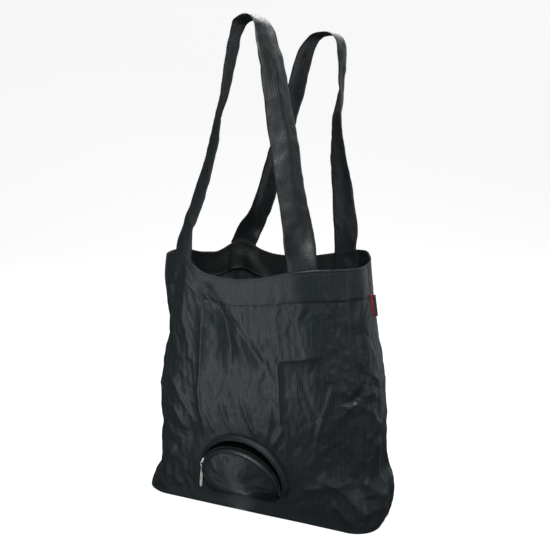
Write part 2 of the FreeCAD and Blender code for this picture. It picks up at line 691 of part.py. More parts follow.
def puller_circle(body, name, size_name, expression, radius):
    """Sketch of a circle round the link's far bar."""
    sketch = new_sketch(body, name + "_sketch", "YZ_Plane")
    sketch.addGeometry([Part.Circle(Vector(0, 0, 0), Z_AXIS, radius)], False)
    constrain(sketch, ("Coincident", 0, 3, -1, 1))
    drive(sketch, size_name, expression, "Radius", 0, radius)
    return sketch


def puller():
    """Slim flat bar whose narrow head turns on the link's far bar, at the origin."""
    body = new_body("zip_puller")
    head, half = dim("pull_head"), dim("pull_wide") / 2
    top = dim("pull_head_top")
    tip = top - dim("pull_deep")
    left = [
        (-head / 2, top), (-head / 2, -dim("pull_neck")), (-half, -dim("pull_shoulder")),
        (-half, tip + dim("pull_bevel_tall")), (-half + dim("pull_bevel_wide"), tip)]
    right = [(-x, z) for x, z in reversed(left)]
    sketch = new_sketch(body, "zip_puller_sketch", "XZ_Plane", "-dims.pull_thick / 2")
    add_polygon(sketch, left + right)
    drive(sketch, "head", "dims.pull_head", "DistanceX", 9, 2, 9, 1, head)
    add_pad(body, "zip_puller_bar", sketch, "dims.pull_thick")

    # Barrel round the link's bar, then the cross hole through it.
    hole = dim("pull_hole")
    sketch = puller_circle(body, "zip_puller_barrel", "barrel",
                           "dims.pull_hole + dims.barrel_wall", hole + dim("barrel_wall"))
    add_pad(body, "zip_puller_barrel", sketch, "dims.pull_head", midplane=True)
    sketch = puller_circle(body, "zip_puller_hole", "hole", "dims.pull_hole", hole)
    cut_through(body, "zip_puller_hole", sketch)


slider()
link()
puller()


# ---- Placement on the front panel, and the blocks at the zip's ends ----

on_panel = (shift(dim("pouch_x"), -dim("base_depth") / 2)
            * turn(X_AXIS, dim("panel_tilt")) * shift(z=dim("pouch_z")))
on_flap = on_panel * turn(X_AXIS, dim("pouch_lean"))


def at_angle(angle, radius):
    """Place on the arch: x along the radius, -y outward, z along the tangent.

    The angle and the tangent run anticlockwise, seen from the front.
    """
    return on_panel * shift(z=rise) * turn(Y_AXIS, -angle) * shift(radius)


def end_block(label, kind, angle, radius):
    """Rectangular block centred on the arch, its back face lifted off the panel."""
    block = add_piece("Part::Box", label)
    wide, thick, deep = [dim(kind + size) for size in ("_wide", "_thick", "_deep")]
    block.setExpression("Length", "dims.%s_wide" % kind)
    block.setExpression("Width", "dims.%s_thick" % kind)
    block.setExpression("Height", "dims.%s_deep" % kind)
    corner = shift(-wide / 2, -dim(kind + "_lift") - thick, -deep / 2)
    block.Placement = at_angle(angle, radius) * corner


for kind, radius in (("stop", zip_radius), ("tab", zip_radius + dim("tab_out"))):
    angle = dim(kind + "_angle")
    end_block("zip_%s_left" % kind, kind, 180 - angle, radius)
    end_block("zip_%s_right" % kind, kind, angle, radius)

for name in ("pouch_back_panel", "zip_tape_bag_side", "zip_teeth_bag_side", "pouch_piping"):
    pieces[name].Placement = on_panel
for name in ("pouch_gusset", "zip_tape_pouch_side", "zip_teeth_pouch_side"):
    pieces[name].Placement = on_flap
pieces["pouch_front_panel"].Placement = (
    on_flap * shift(y=-dim("flap_lift")) * turn(X_AXIS, dim("flap_tilt")))

# The link and puller hang from the crown's slot almost straight down the panel.
park = at_angle(dim("park_angle"), zip_radius)
axle_lift = dim("plate_top_lift") + dim("plate_top_thick") + dim("crown_slot_tall") / 2
hang = park * shift(y=-axle_lift) * turn(Y_AXIS, 180 - dim("hang_turn"))
pieces["zip_slider"].Placement = park
pieces["pull_link"].Placement = hang
pieces["zip_puller"].Placement = hang * shift(z=dim("link_wire") - dim("link_deep"))


# ---- Check and export ----

doc.recompute()
failed = [o.Name for o in doc.Objects if "Invalid" in o.State or "Error" in o.State]
if failed:
    raise SystemExit("objects failed: %s" % failed)
for name, piece in pieces.items():
    shape = piece.Shape
    if shape.isNull() or not shape.isValid() or not shape.Solids:
        raise SystemExit("shape of %s is not a valid solid" % name)

os.makedirs("parts", exist_ok=True)
for name, piece in pieces.items():
    piece.Shape.exportStep("parts/%s.step" % name)
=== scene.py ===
"""Ripstop carrying bag with two straps and a half-moon stow pouch zipped to its front.

The bag stands on the floor at z = 0 with its width along X and its front facing -Y, so its left
and right are -X and +X. Shapes are worked out in millimetres; make() turns them into metres.
Places on a panel are given as cloth coordinates: arc, across from the middle of the panel, and
rise, up from the bottom edge (negative on the underside).
"""
import bpy
import math
import numpy as np
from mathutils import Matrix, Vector


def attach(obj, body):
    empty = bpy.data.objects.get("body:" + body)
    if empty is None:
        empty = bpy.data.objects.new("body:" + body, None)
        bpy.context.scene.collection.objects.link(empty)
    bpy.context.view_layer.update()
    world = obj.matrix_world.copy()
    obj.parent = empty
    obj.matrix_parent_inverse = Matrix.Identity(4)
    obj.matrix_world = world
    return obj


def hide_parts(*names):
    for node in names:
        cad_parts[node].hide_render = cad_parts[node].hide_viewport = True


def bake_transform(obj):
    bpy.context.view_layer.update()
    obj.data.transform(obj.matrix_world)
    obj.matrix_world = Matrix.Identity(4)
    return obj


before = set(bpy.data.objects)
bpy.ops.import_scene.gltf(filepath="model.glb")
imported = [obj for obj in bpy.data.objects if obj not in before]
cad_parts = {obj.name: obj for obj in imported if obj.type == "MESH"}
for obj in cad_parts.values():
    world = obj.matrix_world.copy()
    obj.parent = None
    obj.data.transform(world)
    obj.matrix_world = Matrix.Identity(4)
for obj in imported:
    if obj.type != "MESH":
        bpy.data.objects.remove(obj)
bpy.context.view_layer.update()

MM = 0.001

# Bag shell
RIM = 385.0  # nominal rise of the rim
PANEL = 438.0  # cloth width of one panel, seam to seam
BASE_DEPTH = 106.0
LEAN = math.radians(6.5)  # outward lean of the front and back walls
FOOT_RADIUS = 3.0  # fillet between underside and walls
SKIN = 0.5  # cloth thickness
HEM = 45.0  # height of the doubled band under the rim
HEM_GROOVE, RIM_GROOVE = 43.8, 3.8  # stitched lines, below the rim

# Stow pouch
POUCH_X, POUCH_Z = -19.0, 21.0  # middle of its lower edge, and that edge's place up the panel
POUCH_RISE = 28.0  # arch centre above the lower edge
FLAP_LEAN = math.radians(8.0)
ZIP_RADIUS = 67.5
SLIDER_ANGLE = 160.0

# ------------------------------------------------------------------------------- mesh helpers


def make(name, verts, faces, uv, material, body=None, replaces=(), slot=None):
    """A smooth mesh piece from millimetre vertices; uv is per vertex, in metres of cloth."""
    mesh = bpy.data.meshes.new(name)
    faces = [list(map(int, face)) for face in faces]
    mesh.from_pydata((np.asarray(verts, float) * MM).tolist(), [], faces)
    mesh.update()
    if uv is not None:
        layer = mesh.uv_layers.new(name="UVMap")
        index = np.zeros(len(mesh.loops), np.int32)
        mesh.loops.foreach_get("vertex_index", index)
        layer.data.foreach_set("uv", np.asarray(uv, np.float32)[index].ravel())
    mesh.polygons.foreach_set("use_smooth", np.ones(len(mesh.polygons), bool))
    mesh.validate()
    piece = bpy.data.objects.new(name, mesh)
    bpy.context.scene.collection.objects.link(piece)
    mesh.materials.append(material)
    if body:
        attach(piece, body)
    if replaces:
        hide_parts(*replaces)
    return piece


def unit(vectors):
    return vectors / np.maximum(np.linalg.norm(vectors, axis=-1, keepdims=True), 1e-9)


def lengths_along(points):
    """Distance run from the first point to each point of a path."""
    return np.concatenate([[0], np.cumsum(np.linalg.norm(np.diff(points, axis=0), axis=1))])


def grid_normals(points):
    return unit(np.cross(np.gradient(points, axis=1), np.gradient(points, axis=0)))


def quads(rows, cols, wrap=False):
    i = np.arange(rows - 1)[:, None] * cols
    j = np.arange(cols if wrap else cols - 1)[None, :]
    after = (j + 1) % cols
    return np.stack([i + j, i + after, i + cols + after, i + cols + j], -1).reshape(-1, 4)


def tube(rings):
    """Vertices and faces of a tube through rings of points (rings, points, 3), capped."""
    rows, cols = rings.shape[:2]
    caps = [list(range(cols))[::-1], [(rows - 1) * cols + i for i in range(cols)]]
    return rings.reshape(-1, 3), quads(rows, cols, wrap=True).tolist() + caps


def sweep(path, across, up, profile):
    """Rings of a profile (points, 2) carried along a path with the given axes."""
    return (path[:, None, :] + across[:, None, :] * profile[None, :, :1]
            + up[:, None, :] * profile[None, :, 1:])


def merge(parts):
    verts, faces, start = [], [], 0
    for part_verts, part_faces in parts:
        verts.append(np.asarray(part_verts))
        faces += [[int(i) + start for i in face] for face in part_faces]
        start += len(part_verts)
    return np.concatenate(verts), faces


def sheet(name, outer, normals, thickness, uv, material, **told):
    """Closed thin sheet: outer grid, inner grid below it, and a strip round the edge."""
    rows, cols = outer.shape[:2]
    count = rows * cols
    inner = outer - normals * thickness
    top = quads(rows, cols)
    ring = np.concatenate([
        np.arange(cols), cols - 1 + cols * np.arange(1, rows),
        (rows - 1) * cols + np.arange(cols - 2, -1, -1), cols * np.arange(rows - 2, 0, -1)])
    after = np.roll(ring, -1)
    strip = np.stack([ring, after, after + count, ring + count], -1)
    # turn the top to face along the normals, and wind the strip to match it
    i, j = rows // 2, cols // 2
    facing_way = np.cross(outer[i, j + 1] - outer[i, j], outer[i + 1, j] - outer[i, j])
    if np.dot(facing_way, normals[i, j]) < 0:
        top = top[:, ::-1]
    else:
        strip = strip[:, ::-1]
    verts = np.concatenate([outer.reshape(-1, 3), inner.reshape(-1, 3)])
    faces = np.concatenate([top, top[:, ::-1] + count, strip])
    return make(name, verts, faces, np.concatenate([uv.reshape(-1, 2)] * 2), material, **told)


def oval(radius_x, radius_y, count):
    angle = np.linspace(0, 2 * math.pi, count, endpoint=False)
    return np.stack([radius_x * np.cos(angle), radius_y * np.sin(angle)], -1)


def signed_power(value, power):
    return np.sign(value) * np.abs(value) ** power


def smooth_curve(stations, spacing):
    """Smooth curve through the stations (x, y, z first); all columns are carried along."""
    table = np.asarray(stations, float)
    spans = np.linalg.norm(np.diff(table[:, :3], axis=0), axis=1)
    knots = np.concatenate([[0], np.cumsum(spans ** 0.5)])
    slopes = np.gradient(table, knots, axis=0)
    out = []
    for i in range(len(table) - 1):
        gap = knots[i + 1] - knots[i]
        count = max(2, int(round(spans[i] / spacing)))
        s = np.linspace(0, 1, count, endpoint=False)[:, None]
        out.append((2 * s ** 3 - 3 * s ** 2 + 1) * table[i]
                   + (s ** 3 - 2 * s ** 2 + s) * gap * slopes[i]
                   + (-2 * s ** 3 + 3 * s ** 2) * table[i + 1]
                   + (s ** 3 - s ** 2) * gap * slopes[i + 1])
    out.append(table[-1:])
    return np.concatenate(out)


def ease(value):
    """Smooth step from 0 to 1."""
    value = np.clip(value, 0, 1)
    return value * value * (3 - 2 * value)


def value_noise(x, y, seed):
    table = np.random.RandomState(seed).uniform(-1, 1, (64, 64))
    col, row = np.floor(x).astype(int), np.floor(y).astype(int)
    blend_x, blend_y = ease(x - col), ease(y - row)

    def mixed(line):
        return (table[col % 64, line % 64] * (1 - blend_x)
                + table[(col + 1) % 64, line % 64] * blend_x)

    return mixed(row) * (1 - blend_y) + mixed(row + 1) * blend_y


def fbm(x, y, scale, octaves, seed):
    """Layered noise; scale is the size of its largest features."""
    total, gain = 0, 1.0
    for k in range(octaves):
        total = total + gain * value_noise(x / scale + 7.3 * k, y / scale + 3.1 * k, seed + k)
        scale, gain = scale / 2.03, gain * 0.5
    return total


def line_field(arc, rise, points):
    """Distance to a polyline, side (+1 left of it), and share of its length at the nearest."""
    best = np.full(arc.shape, 1e9)
    side = np.zeros(arc.shape)
    along = np.zeros(arc.shape)
    line = np.asarray(points, float)
    spans = np.linalg.norm(np.diff(line, axis=0), axis=1)
    shares = np.concatenate([[0], np.cumsum(spans)]) / max(spans.sum(), 1e-9)
    for i in range(len(line) - 1):
        run = line[i + 1] - line[i]
        t = ((arc - line[i, 0]) * run[0] + (rise - line[i, 1]) * run[1]) / (run @ run)
        t = np.clip(t, 0, 1)
        x = arc - line[i, 0] - t * run[0]
        y = rise - line[i, 1] - t * run[1]
        distance = np.hypot(x, y)
        nearer = distance < best
        best = np.where(nearer, distance, best)
        side = np.where(nearer, np.sign(run[0] * y - run[1] * x), side)
        along = np.where(nearer, shares[i] + t * (shares[i + 1] - shares[i]), along)
    return best, side, along


def crease(arc, rise, depth, width, points, fade=(0.15, 0.15), left=1.0, right=1.0, kind="cusp"):
    """Fold along a polyline. cusp is a sharp fold, soft a rounded one.

    fade is the share of length over which each end dies out; left and right scale the flanks.
    """
    distance, side, along = line_field(arc, rise, points)
    reach = width * np.where(side > 0, left, right)
    shape = np.exp(-distance / reach) if kind == "cusp" else np.exp(-(distance / reach) ** 2)
    start, end = fade
    ends = (ease(along / start if start > 0 else np.ones_like(along))
            * ease((1 - along) / end if end > 0 else np.ones_like(along)))
    return depth * shape * ends


def add_folds(relief, arc, rise, folds):
    for fold in folds:
        relief += crease(arc, rise, *fold)


def level_change(arc, rise, points, depth, width):
    """Change of level across a polyline, fading with distance from it."""
    distance, side, along = line_field(arc, rise, points)
    return (depth * side * (1 - np.exp(-distance / width))
            * np.exp(-(distance / (6 * width)) ** 2)
            * ease(along / 0.2) * ease((1 - along) / 0.2))


def crinkle(arc, rise, count, seed, depth=0.55):
    """Many short sharp folds left from the bag being stuffed in its pouch."""
    random = np.random.RandomState(seed)
    relief = np.zeros_like(arc)
    low, high = arc.min(), arc.max()
    for _ in range(count):
        x, y = random.uniform(low, high), random.uniform(4.0, 376.0)
        angle, length = random.uniform(0, math.pi), random.uniform(14, 60)
        width, height = random.uniform(2.5, 7.0), depth * random.uniform(-1, 1)
        cos, sin = math.cos(angle), math.sin(angle)
        along = (arc - x) * cos + (rise - y) * sin
        bow = 0.004 * along * along * random.uniform(-1, 1)
        off = -(arc - x) * sin + (rise - y) * cos + bow
        relief += height * np.exp(-np.abs(off) / width) * np.exp(-(along / length) ** 2)
    return relief


# ------------------------------------------------------------------------------- materials

NOISE_SPREAD = (0.3, 0.7)  # range that most of a noise node's output falls in


def scaled(colour, gain, lift=0.0):
    return tuple(c * gain + lift for c in colour)


class Shader:
    """Short calls that add nodes to one tree and return their output sockets."""

    def __init__(self, tree):
        self.tree = tree
        tree.nodes.clear()

    def add(self, kind):
        return self.tree.nodes.new("ShaderNode" + kind)

    def feed(self, socket, value):
        """Set a plain value, or link an output socket."""
        if isinstance(value, (int, float, tuple)):
            socket.default_value = value
        else:
            self.tree.links.new(value, socket)

    def set(self, name, value):
        """Feed an input of the material's own surface."""
        self.feed(self.surface.inputs[name], value)

    def math(self, operation, *values):
        node = self.add("Math")
        node.operation = operation
        for socket, value in zip(node.inputs, values):
            self.feed(socket, value)
        return node.outputs[0]

    def remap(self, value, target, source=NOISE_SPREAD, smooth=False):
        node = self.add("MapRange")
        node.interpolation_type = "SMOOTHSTEP" if smooth else "LINEAR"
        self.feed(node.inputs["Value"], value)
        for name, number in zip(("From Min", "From Max", "To Min", "To Max"), source + target):
            node.inputs[name].default_value = number
        return node.outputs["Result"]

    def noise(self, place, scale, detail=3.0, roughness=0.55):
        node = self.add("TexNoise")
        node.inputs["Scale"].default_value = scale
        node.inputs["Detail"].default_value = detail
        node.inputs["Roughness"].default_value = roughness
        self.feed(node.inputs["Vector"], place)
        return node.outputs["Fac"]

    def mix(self, factor, first, second):
        """Blend of two colours; sockets 6 and 7 are the colour inputs A and B."""
        node = self.add("Mix")
        node.data_type = "RGBA"
        self.feed(node.inputs["Factor"], factor)
        for index, colour in ((6, first), (7, second)):
            self.feed(node.inputs[index], (*colour, 1) if isinstance(colour, tuple) else colour)
        return node.outputs[2]

    def bump(self, layers):
        """Chain bump nodes into the surface: (height, strength, distance in metres)."""
        last = None
        for height, strength, distance in layers:
            node = self.add("Bump")
            node.inputs["Strength"].default_value = strength
            node.inputs["Distance"].default_value = distance
            self.feed(node.inputs["Height"], height)
            if last is not None:
                self.feed(node.inputs["Normal"], last)
            last = node.outputs["Normal"]
        self.set("Normal", last)

    def cloth_axes(self):
        """Cloth coordinates as a vector and as its two parts, in metres."""
        node = self.add("UVMap")
        node.uv_map = "UVMap"
        parts = self.add("SeparateXYZ")
        self.feed(parts.inputs[0], node.outputs[0])
        return node.outputs[0], parts.outputs[0], parts.outputs[1]

    def object_place(self):
        return self.add("TexCoord").outputs["Object"]

    def threads(self, value, pitch, width):
        """1 on evenly spaced heavier threads, 0 between them."""
        share = self.math("FRACT", self.math("DIVIDE", value, pitch))
        distance = self.math("ABSOLUTE", self.math("SUBTRACT", share, 0.5))
        source = (0.5 - width / pitch, 0.5 - 0.4 * width / pitch)
        return self.remap(distance, (0.0, 1.0), source, smooth=True)

    def camera_split(self, seen, unseen):
        """One surface for camera rays and another for every other ray."""
        path = self.add("LightPath")
        mixer = self.add("MixShader")
        self.feed(mixer.inputs[0], path.outputs["Is Camera Ray"])
        self.feed(mixer.inputs[1], unseen)
        self.feed(mixer.inputs[2], seen)
        return mixer.outputs[0]


def new_material(name):
    material = bpy.data.materials.new(name)
    material.use_nodes = True
    shader = Shader(material.node_tree)
    shader.end = shader.add("OutputMaterial").inputs[0]
    shader.surface = shader.add("BsdfPrincipled")
    shader.feed(shader.end, shader.surface.outputs[0])
    return material, shader


def ripstop(name, dark, light, roughness, sheen, specular, grid=0.9, grooves=()):
    """Cloth with a grid of heavier threads, painted lighter as a painted sheen (grid sets its
    share); grooves are (v, half width) lines, in metres.
    """
    material, shader = new_material(name)
    cloth, across, up = shader.cloth_axes()
    pitch = 0.0033
    warp = shader.threads(across, pitch, width=0.00085)
    weft = shader.math("MULTIPLY", shader.threads(up, pitch, width=0.00075), 0.6)
    lines = shader.math("MAXIMUM", warp, weft)
    tone = shader.noise(cloth, scale=9.0, detail=4.0, roughness=0.6)
    fine = shader.noise(cloth, scale=160.0, detail=2.0, roughness=0.6)
    base = shader.mix(shader.remap(tone, (0.0, 1.0)), dark, light)
    # heavier threads painted lighter: a painted sheen on the real thread grid
    thread_sheen_colour = scaled(light, 2.3, lift=0.004)
    colour = shader.mix(shader.math("MULTIPLY", lines, grid), base, thread_sheen_colour)
    furrow = None
    for place, width in grooves:
        distance = shader.math("ABSOLUTE", shader.math("SUBTRACT", up, place))
        band = shader.remap(distance, (0.0, 1.0), (width, width * 0.35), smooth=True)
        furrow = band if furrow is None else shader.math("MAXIMUM", furrow, band)
    if furrow is not None:
        shadow = (0.002, 0.003, 0.0035)
        colour = shader.mix(shader.math("MULTIPLY", furrow, 0.85), colour, shadow)
    shader.set("Base Color", colour)
    patchy = shader.remap(tone, (roughness - 0.04, roughness + 0.05))
    patchy = shader.math("ADD", patchy, shader.math("MULTIPLY", lines, 0.05))
    shader.set("Roughness", shader.math("ADD", patchy, shader.remap(fine, (-0.03, 0.03))))
    shader.set("Specular IOR Level", specular)
    shader.set("Sheen Weight", sheen)
    shader.set("Sheen Roughness", 0.35)
    shader.set("Sheen Tint", (0.75, 0.9, 0.95, 1))
    crumple = shader.noise(cloth, scale=55.0, detail=4.0, roughness=0.62)
    weave = shader.noise(cloth, scale=1400.0, detail=1.0, roughness=0.5)
    ridge = shader.noise(cloth, scale=24.0, detail=5.0, roughness=0.6)
    ridge = shader.math("ABSOLUTE", shader.math("SUBTRACT", ridge, 0.5))
    layers = [(ridge, 0.16, 0.008), (crumple, 0.16, 0.0020),
              (lines, 0.45, 0.0002), (weave, 0.12, 0.0001)]
    if furrow is not None:
        layers.append((furrow, -0.8, 0.0009))
    shader.bump(layers)
    return material


def tape(name, colour, pitch=0.0011, roughness=0.75, stripe=None):
    """Plain woven tape with a fine diagonal rib; stripe is (colour, low u, high u)."""
    material, shader = new_material(name)
    cloth, across, up = shader.cloth_axes()
    rib = shader.threads(shader.math("ADD", across, up), pitch, width=0.0003)
    cloud = shader.noise(cloth, scale=60.0)
    base = shader.mix(shader.remap(cloud, (0.0, 1.0)), colour, scaled(colour, 1.35))
    if stripe:
        stripe_colour, low, high = stripe
        inside = shader.math("MULTIPLY", shader.math("GREATER_THAN", across, low),
                             shader.math("LESS_THAN", across, high))
        base = shader.mix(inside, base, stripe_colour)
    shader.set("Base Color", base)
    shader.set("Sheen Weight", 0.04)
    shader.set("Roughness", shader.remap(cloud, (roughness - 0.06, roughness + 0.06)))
    shader.bump([(rib, 0.5, 0.00015)])
    return material


def metal(name, colour, roughness, metallic=0.85):
    """Plated metal with faint brushing and worn, duller patches."""
    material, shader = new_material(name)
    place = shader.object_place()
    cloud = shader.noise(place, scale=420.0, detail=4.0)
    scratch = shader.noise(place, scale=2200.0, detail=2.0)
    worn = shader.remap(cloud, (0.0, 1.0), source=(0.42, 0.7), smooth=True)
    shader.set("Base Color", shader.mix(worn, colour, scaled(colour, 0.72)))
    shader.set("Roughness", shader.remap(cloud, (roughness - 0.06, roughness + 0.14)))
    shader.set("Metallic", metallic)
    shader.bump([(scratch, 0.12, 0.00008)])
    return material


def plain(name, colour, roughness, scale=300.0):
    material, shader = new_material(name)
    cloud = shader.noise(shader.object_place(), scale)
    shader.set("Base Color", shader.mix(cloud, colour, scaled(colour, 1.4)))
    shader.set("Roughness", shader.remap(cloud, (roughness - 0.05, roughness + 0.08)))
    shader.bump([(cloud, 0.3, 0.0002)])
    return material


CLOTH = ripstop("ripstop", dark=(0.0078, 0.0112, 0.0125), light=(0.0125, 0.0172, 0.0192),
                roughness=0.36, sheen=0.03, specular=0.60,
                grooves=(((RIM - HEM_GROOVE) * MM, 0.0011), (0.3815, 0.0007)))
INNER = ripstop("ripstop_inner", dark=(0.0050, 0.0068, 0.0075), light=(0.0085, 0.0108, 0.0118),
                roughness=0.55, sheen=0.02, specular=0.3, grid=0.4)
# near-black copy of the ripstop: painted shade for the inside of the pouch, seen through the zip
# gap
POCKET_SHADE_CLOTH = ripstop("ripstop_pocket_painted_shade", dark=(0.0020, 0.0028, 0.0030), light=(0.0040, 0.0052, 0.0056),
                 roughness=0.7, sheen=0.0, specular=0.12, grid=0.3)
STRAP = ripstop("strap_fabric", dark=(0.0100, 0.0132, 0.0142), light=(0.0150, 0.0192, 0.0204),
                roughness=0.38, sheen=0.03, specular=0.58, grid=0.40)
BINDING = tape("binding", (0.008, 0.0095, 0.010))
ZIP_TAPE = tape("zip_tape", (0.012, 0.018, 0.019), pitch=0.0008)
TEETH = plain("zip_teeth", (0.012, 0.016, 0.017), roughness=0.42)
THREAD = plain("thread", (0.020, 0.023, 0.025), roughness=0.6, scale=900.0)
LABEL = tape("label_tape", (0.022, 0.018, 0.018), pitch=0.0009, roughness=0.55,
             stripe=((0.45, 0.02, 0.03), 0.0015, 0.0042))
CARE = tape("care_tape", (0.62, 0.62, 0.60), pitch=0.0009, roughness=0.5)
LIP = ripstop("ripstop_lip", dark=(0.0070, 0.0105, 0.0115), light=(0.0115, 0.0165, 0.0180),
              roughness=0.52, sheen=0.03, specular=0.34, grid=0.6)
ZIP_METAL = metal("zip_metal", (0.88, 0.85, 0.78), roughness=0.38, metallic=0.14)
STOP_METAL = metal("zip_stop_metal", (0.030, 0.031, 0.030), roughness=0.4)
PULLER_METAL = metal("puller_metal", (0.88, 0.845, 0.76), roughness=0.36, metallic=0.14)

# ------------------------------------------------------------------------------- bag shell

# Rounded-rectangle plan at each height: width along X and corner radius.
PLAN_Z = np.array([0.0, 60.0, 200.0, 385.0, 420.0])
PLAN_WIDTH = np.array([356.0, 356.0, 346.0, 326.0, 322.0])
PLAN_RADIUS = np.array([34.0, 44.0, 70.0, 94.0, 97.0])

# How far the left and right silhouettes swing along X at each height.
SWAY_Z = np.array([0, 10, 20, 30, 45, 60, 80, 100, 130, 160, 200, 230, 260, 290, 320, 350,
                   385, 420], float)
SWAY_LEFT = 1.08 * np.array([-19.2, -19.4, -14.1, -7.5, -2.8, -3.7, -4.3, -6.9, -8.3, -9.6,
                             -6.7, -0.8, 3.5, 2.3, -2.1, -5.2, -1.0, 0.0])
SWAY_RIGHT = 1.08 * np.array([7.2, 10.4, 13.2, 15.2, 15.4, 13.0, 3.2, 4.2, 5.9, 7.2,
                              5.3, 4.1, 0.6, -4.2, -6.8, -10.1, -11.9, -11.9])

# Height of the drooping rim at each arc, front and back.
RIM_ARC = np.array([-219, -190, -165, -135, -108, -92, -80, -64, -41, -9, 29, 67, 109, 147,
                    185, 219], float)
RIM_FRONT = np.array([386, 386, 387, 392, 399, 399, 386, 374, 369, 367, 372, 382, 388, 387,
                      385, 385], float)
RIM_BACK = np.array([386, 383, 375, 373, 390, 393, 388, 379, 373, 371, 374, 381, 390, 393,
                     388, 385], float)

# Fold tables: depth (+ outward), width, (arc, rise) points, then where they differ from
# crease()'s own: fade at each end, left flank, right flank, kind.
LONG_FOLDS = (  # down the left of the front
    (3.2, 9, [(-59, 345), (-67, 297), (-74, 250), (-81, 188), (-77, 131), (-82, 100)],
     (0.15, 0.15), 1.4, 0.8),
    (1.8, 6, [(-90, 250), (-87, 196), (-80, 140)]),
    (1.7, 2.6, [(-66, 334), (-70, 290), (-76, 240), (-82, 190), (-78, 140), (-80, 112)],
     (0.1, 0.15)),
    (-2.0, 4, [(-62, 352), (-52, 330), (-46, 296)], (0.1, 0.4)),
    (-2.6, 4.5, [(-40, 345), (-33, 312), (-29, 280), (-24, 250)], (0.1, 0.3), 1.8),
)
UPPER_FOLDS = (
    # pull from the left strap root
    (-5.5, 13, [(-66, 372), (-44, 337), (-33, 312), (-30, 282), (-29, 248), (-20, 215)],
     (0.1, 0.4), 1, 1, "soft"),
    (3.4, 11, [(-78, 360), (-50, 352), (-14, 303), (-1, 259), (4, 222)], (0.2, 0.4)),
    (-3.0, 9, [(-30, 330), (-7, 289), (11, 265), (40, 218)], (0.2, 0.4), 1, 1, "soft"),
    (3.0, 10, [(-84, 372), (-96, 330), (-104, 280), (-100, 240)], (0.1, 0.4)),
    (-3.6, 11, [(-95, 372), (-120, 335), (-135, 290)], (0.1, 0.4), 1, 1, "soft"),
    (2.4, 9, [(-100, 376), (-141, 330), (-165, 280)], (0.1, 0.4)),
    # crossing folds left of centre
    (3.4, 10, [(-185, 262), (-159, 220), (-127, 197), (-106, 160), (-87, 125)],
     (0.15, 0.15), 1, 1.6),
    (2.4, 9, [(-180, 190), (-150, 172), (-125, 148), (-106, 113)]),
    (2.0, 8, [(-141, 300), (-126, 261), (-112, 225)]),
    (1.8, 7, [(-111, 322), (-100, 274), (-94, 225)]),
    (-2.6, 10, [(-190, 120), (-160, 96), (-120, 82)], (0.15, 0.15), 1, 1, "soft"),
    (2.2, 7, [(-178, 60), (-150, 36), (-120, 20)]),
    (4.0, 8, [(-196, 34), (-165, 24), (-135, 6)], (0.0, 0.4)),
    # middle and right
    (-1.8, 5, [(50, 372), (47, 353), (35, 328)], (0.05, 0.5)),
    (2.0, 5, [(46, 256), (84, 259), (124, 268)], (0.1, 0.3), 1.6, 0.7),
)
RIGHT_FOLDS = (  # the last two meet at the dimple
    (2.0, 7, [(50, 262), (49, 209), (50, 146)], (0.1, 0.2)),
    (1.9, 5, [(131, 226), (118, 189), (108, 161), (101, 134)], (0.12, 0.25), 2.6, 0.8),
    (-1.0, 6, [(141, 230), (128, 192), (116, 162)], (0.15, 0.3)),
    (4.2, 10, [(156, 388), (153, 338), (157, 282), (163, 202)], (0.0, 0.1), 0.7, 2.0),
    (4.4, 9, [(163, 202), (170, 157), (172, 60)], (0.05, 0.2), 0.7, 1.8),
)
LOWER_FOLDS = (
    # star round the dimple
    (2.3, 7, [(163, 198), (150, 211), (132, 230)], (0.0, 0.5)),
    (2.4, 7, [(163, 198), (178, 206), (206, 212)], (0.0, 0.5)),
    (2.0, 7, [(163, 198), (150, 189), (128, 170)], (0.0, 0.5)),
    (2.3, 8, [(163, 198), (183, 184), (212, 150)], (0.0, 0.5)),
    (-0.8, 5, [(150, 222), (157, 210), (163, 203)], (0.3, 0.0), 1, 1, "soft"),
    (-1.2, 7, [(175, 190), (185, 196), (200, 196)], (0.1, 0.4), 1, 1, "soft"),
    # right side, going down
    (2.6, 8, [(159, 282), (180, 243), (213, 216)]),
    (2.2, 8, [(201, 168), (192, 150), (177, 140)]),
    (3.0, 9, [(199, 140), (205, 87), (210, 60)]),
    (2.4, 9, [(75, 54), (107, 65), (138, 74), (159, 84)]),
    (3.0, 8, [(100, 78), (132, 70), (155, 45), (166, 20)]),
    (3.2, 8, [(171, 82), (190, 58), (214, 50)]),
    (2.8, 8, [(162, 34), (189, 38), (215, 30)]),
    (2.4, 7, [(120, 46), (148, 21), (166, 5)]),
    (-3.4, 8, [(176, 60), (180, 30), (178, 8)], (0.15, 0.15), 1, 1, "soft"),
    # round the pouch
    (2.0, 7, [(56, 140), (57, 91), (59, 10)], (0.2, 0.05)),
    (-2.0, 4, [(40, 50), (58, 22), (60, 6)], (0.3, 0.0)),
    (-1.8, 4, [(59, 22), (84, 45)], (0.0, 0.5)),
    (2.4, 7, [(-48, 190), (-40, 150), (-25, 118)], (0.4, 0.0)),
    (2.6, 7, [(-14, 200), (-4, 161), (11, 120)], (0.4, 0.0)),
    (2.4, 6, [(35, 191), (33, 159), (22, 118)], (0.4, 0.0)),
    (2.2, 5, [(58, 160), (44, 134), (30, 112)], (0.4, 0.0)),
    (2.0, 6, [(-70, 170), (-66, 140), (-54, 112)], (0.4, 0.0)),
)
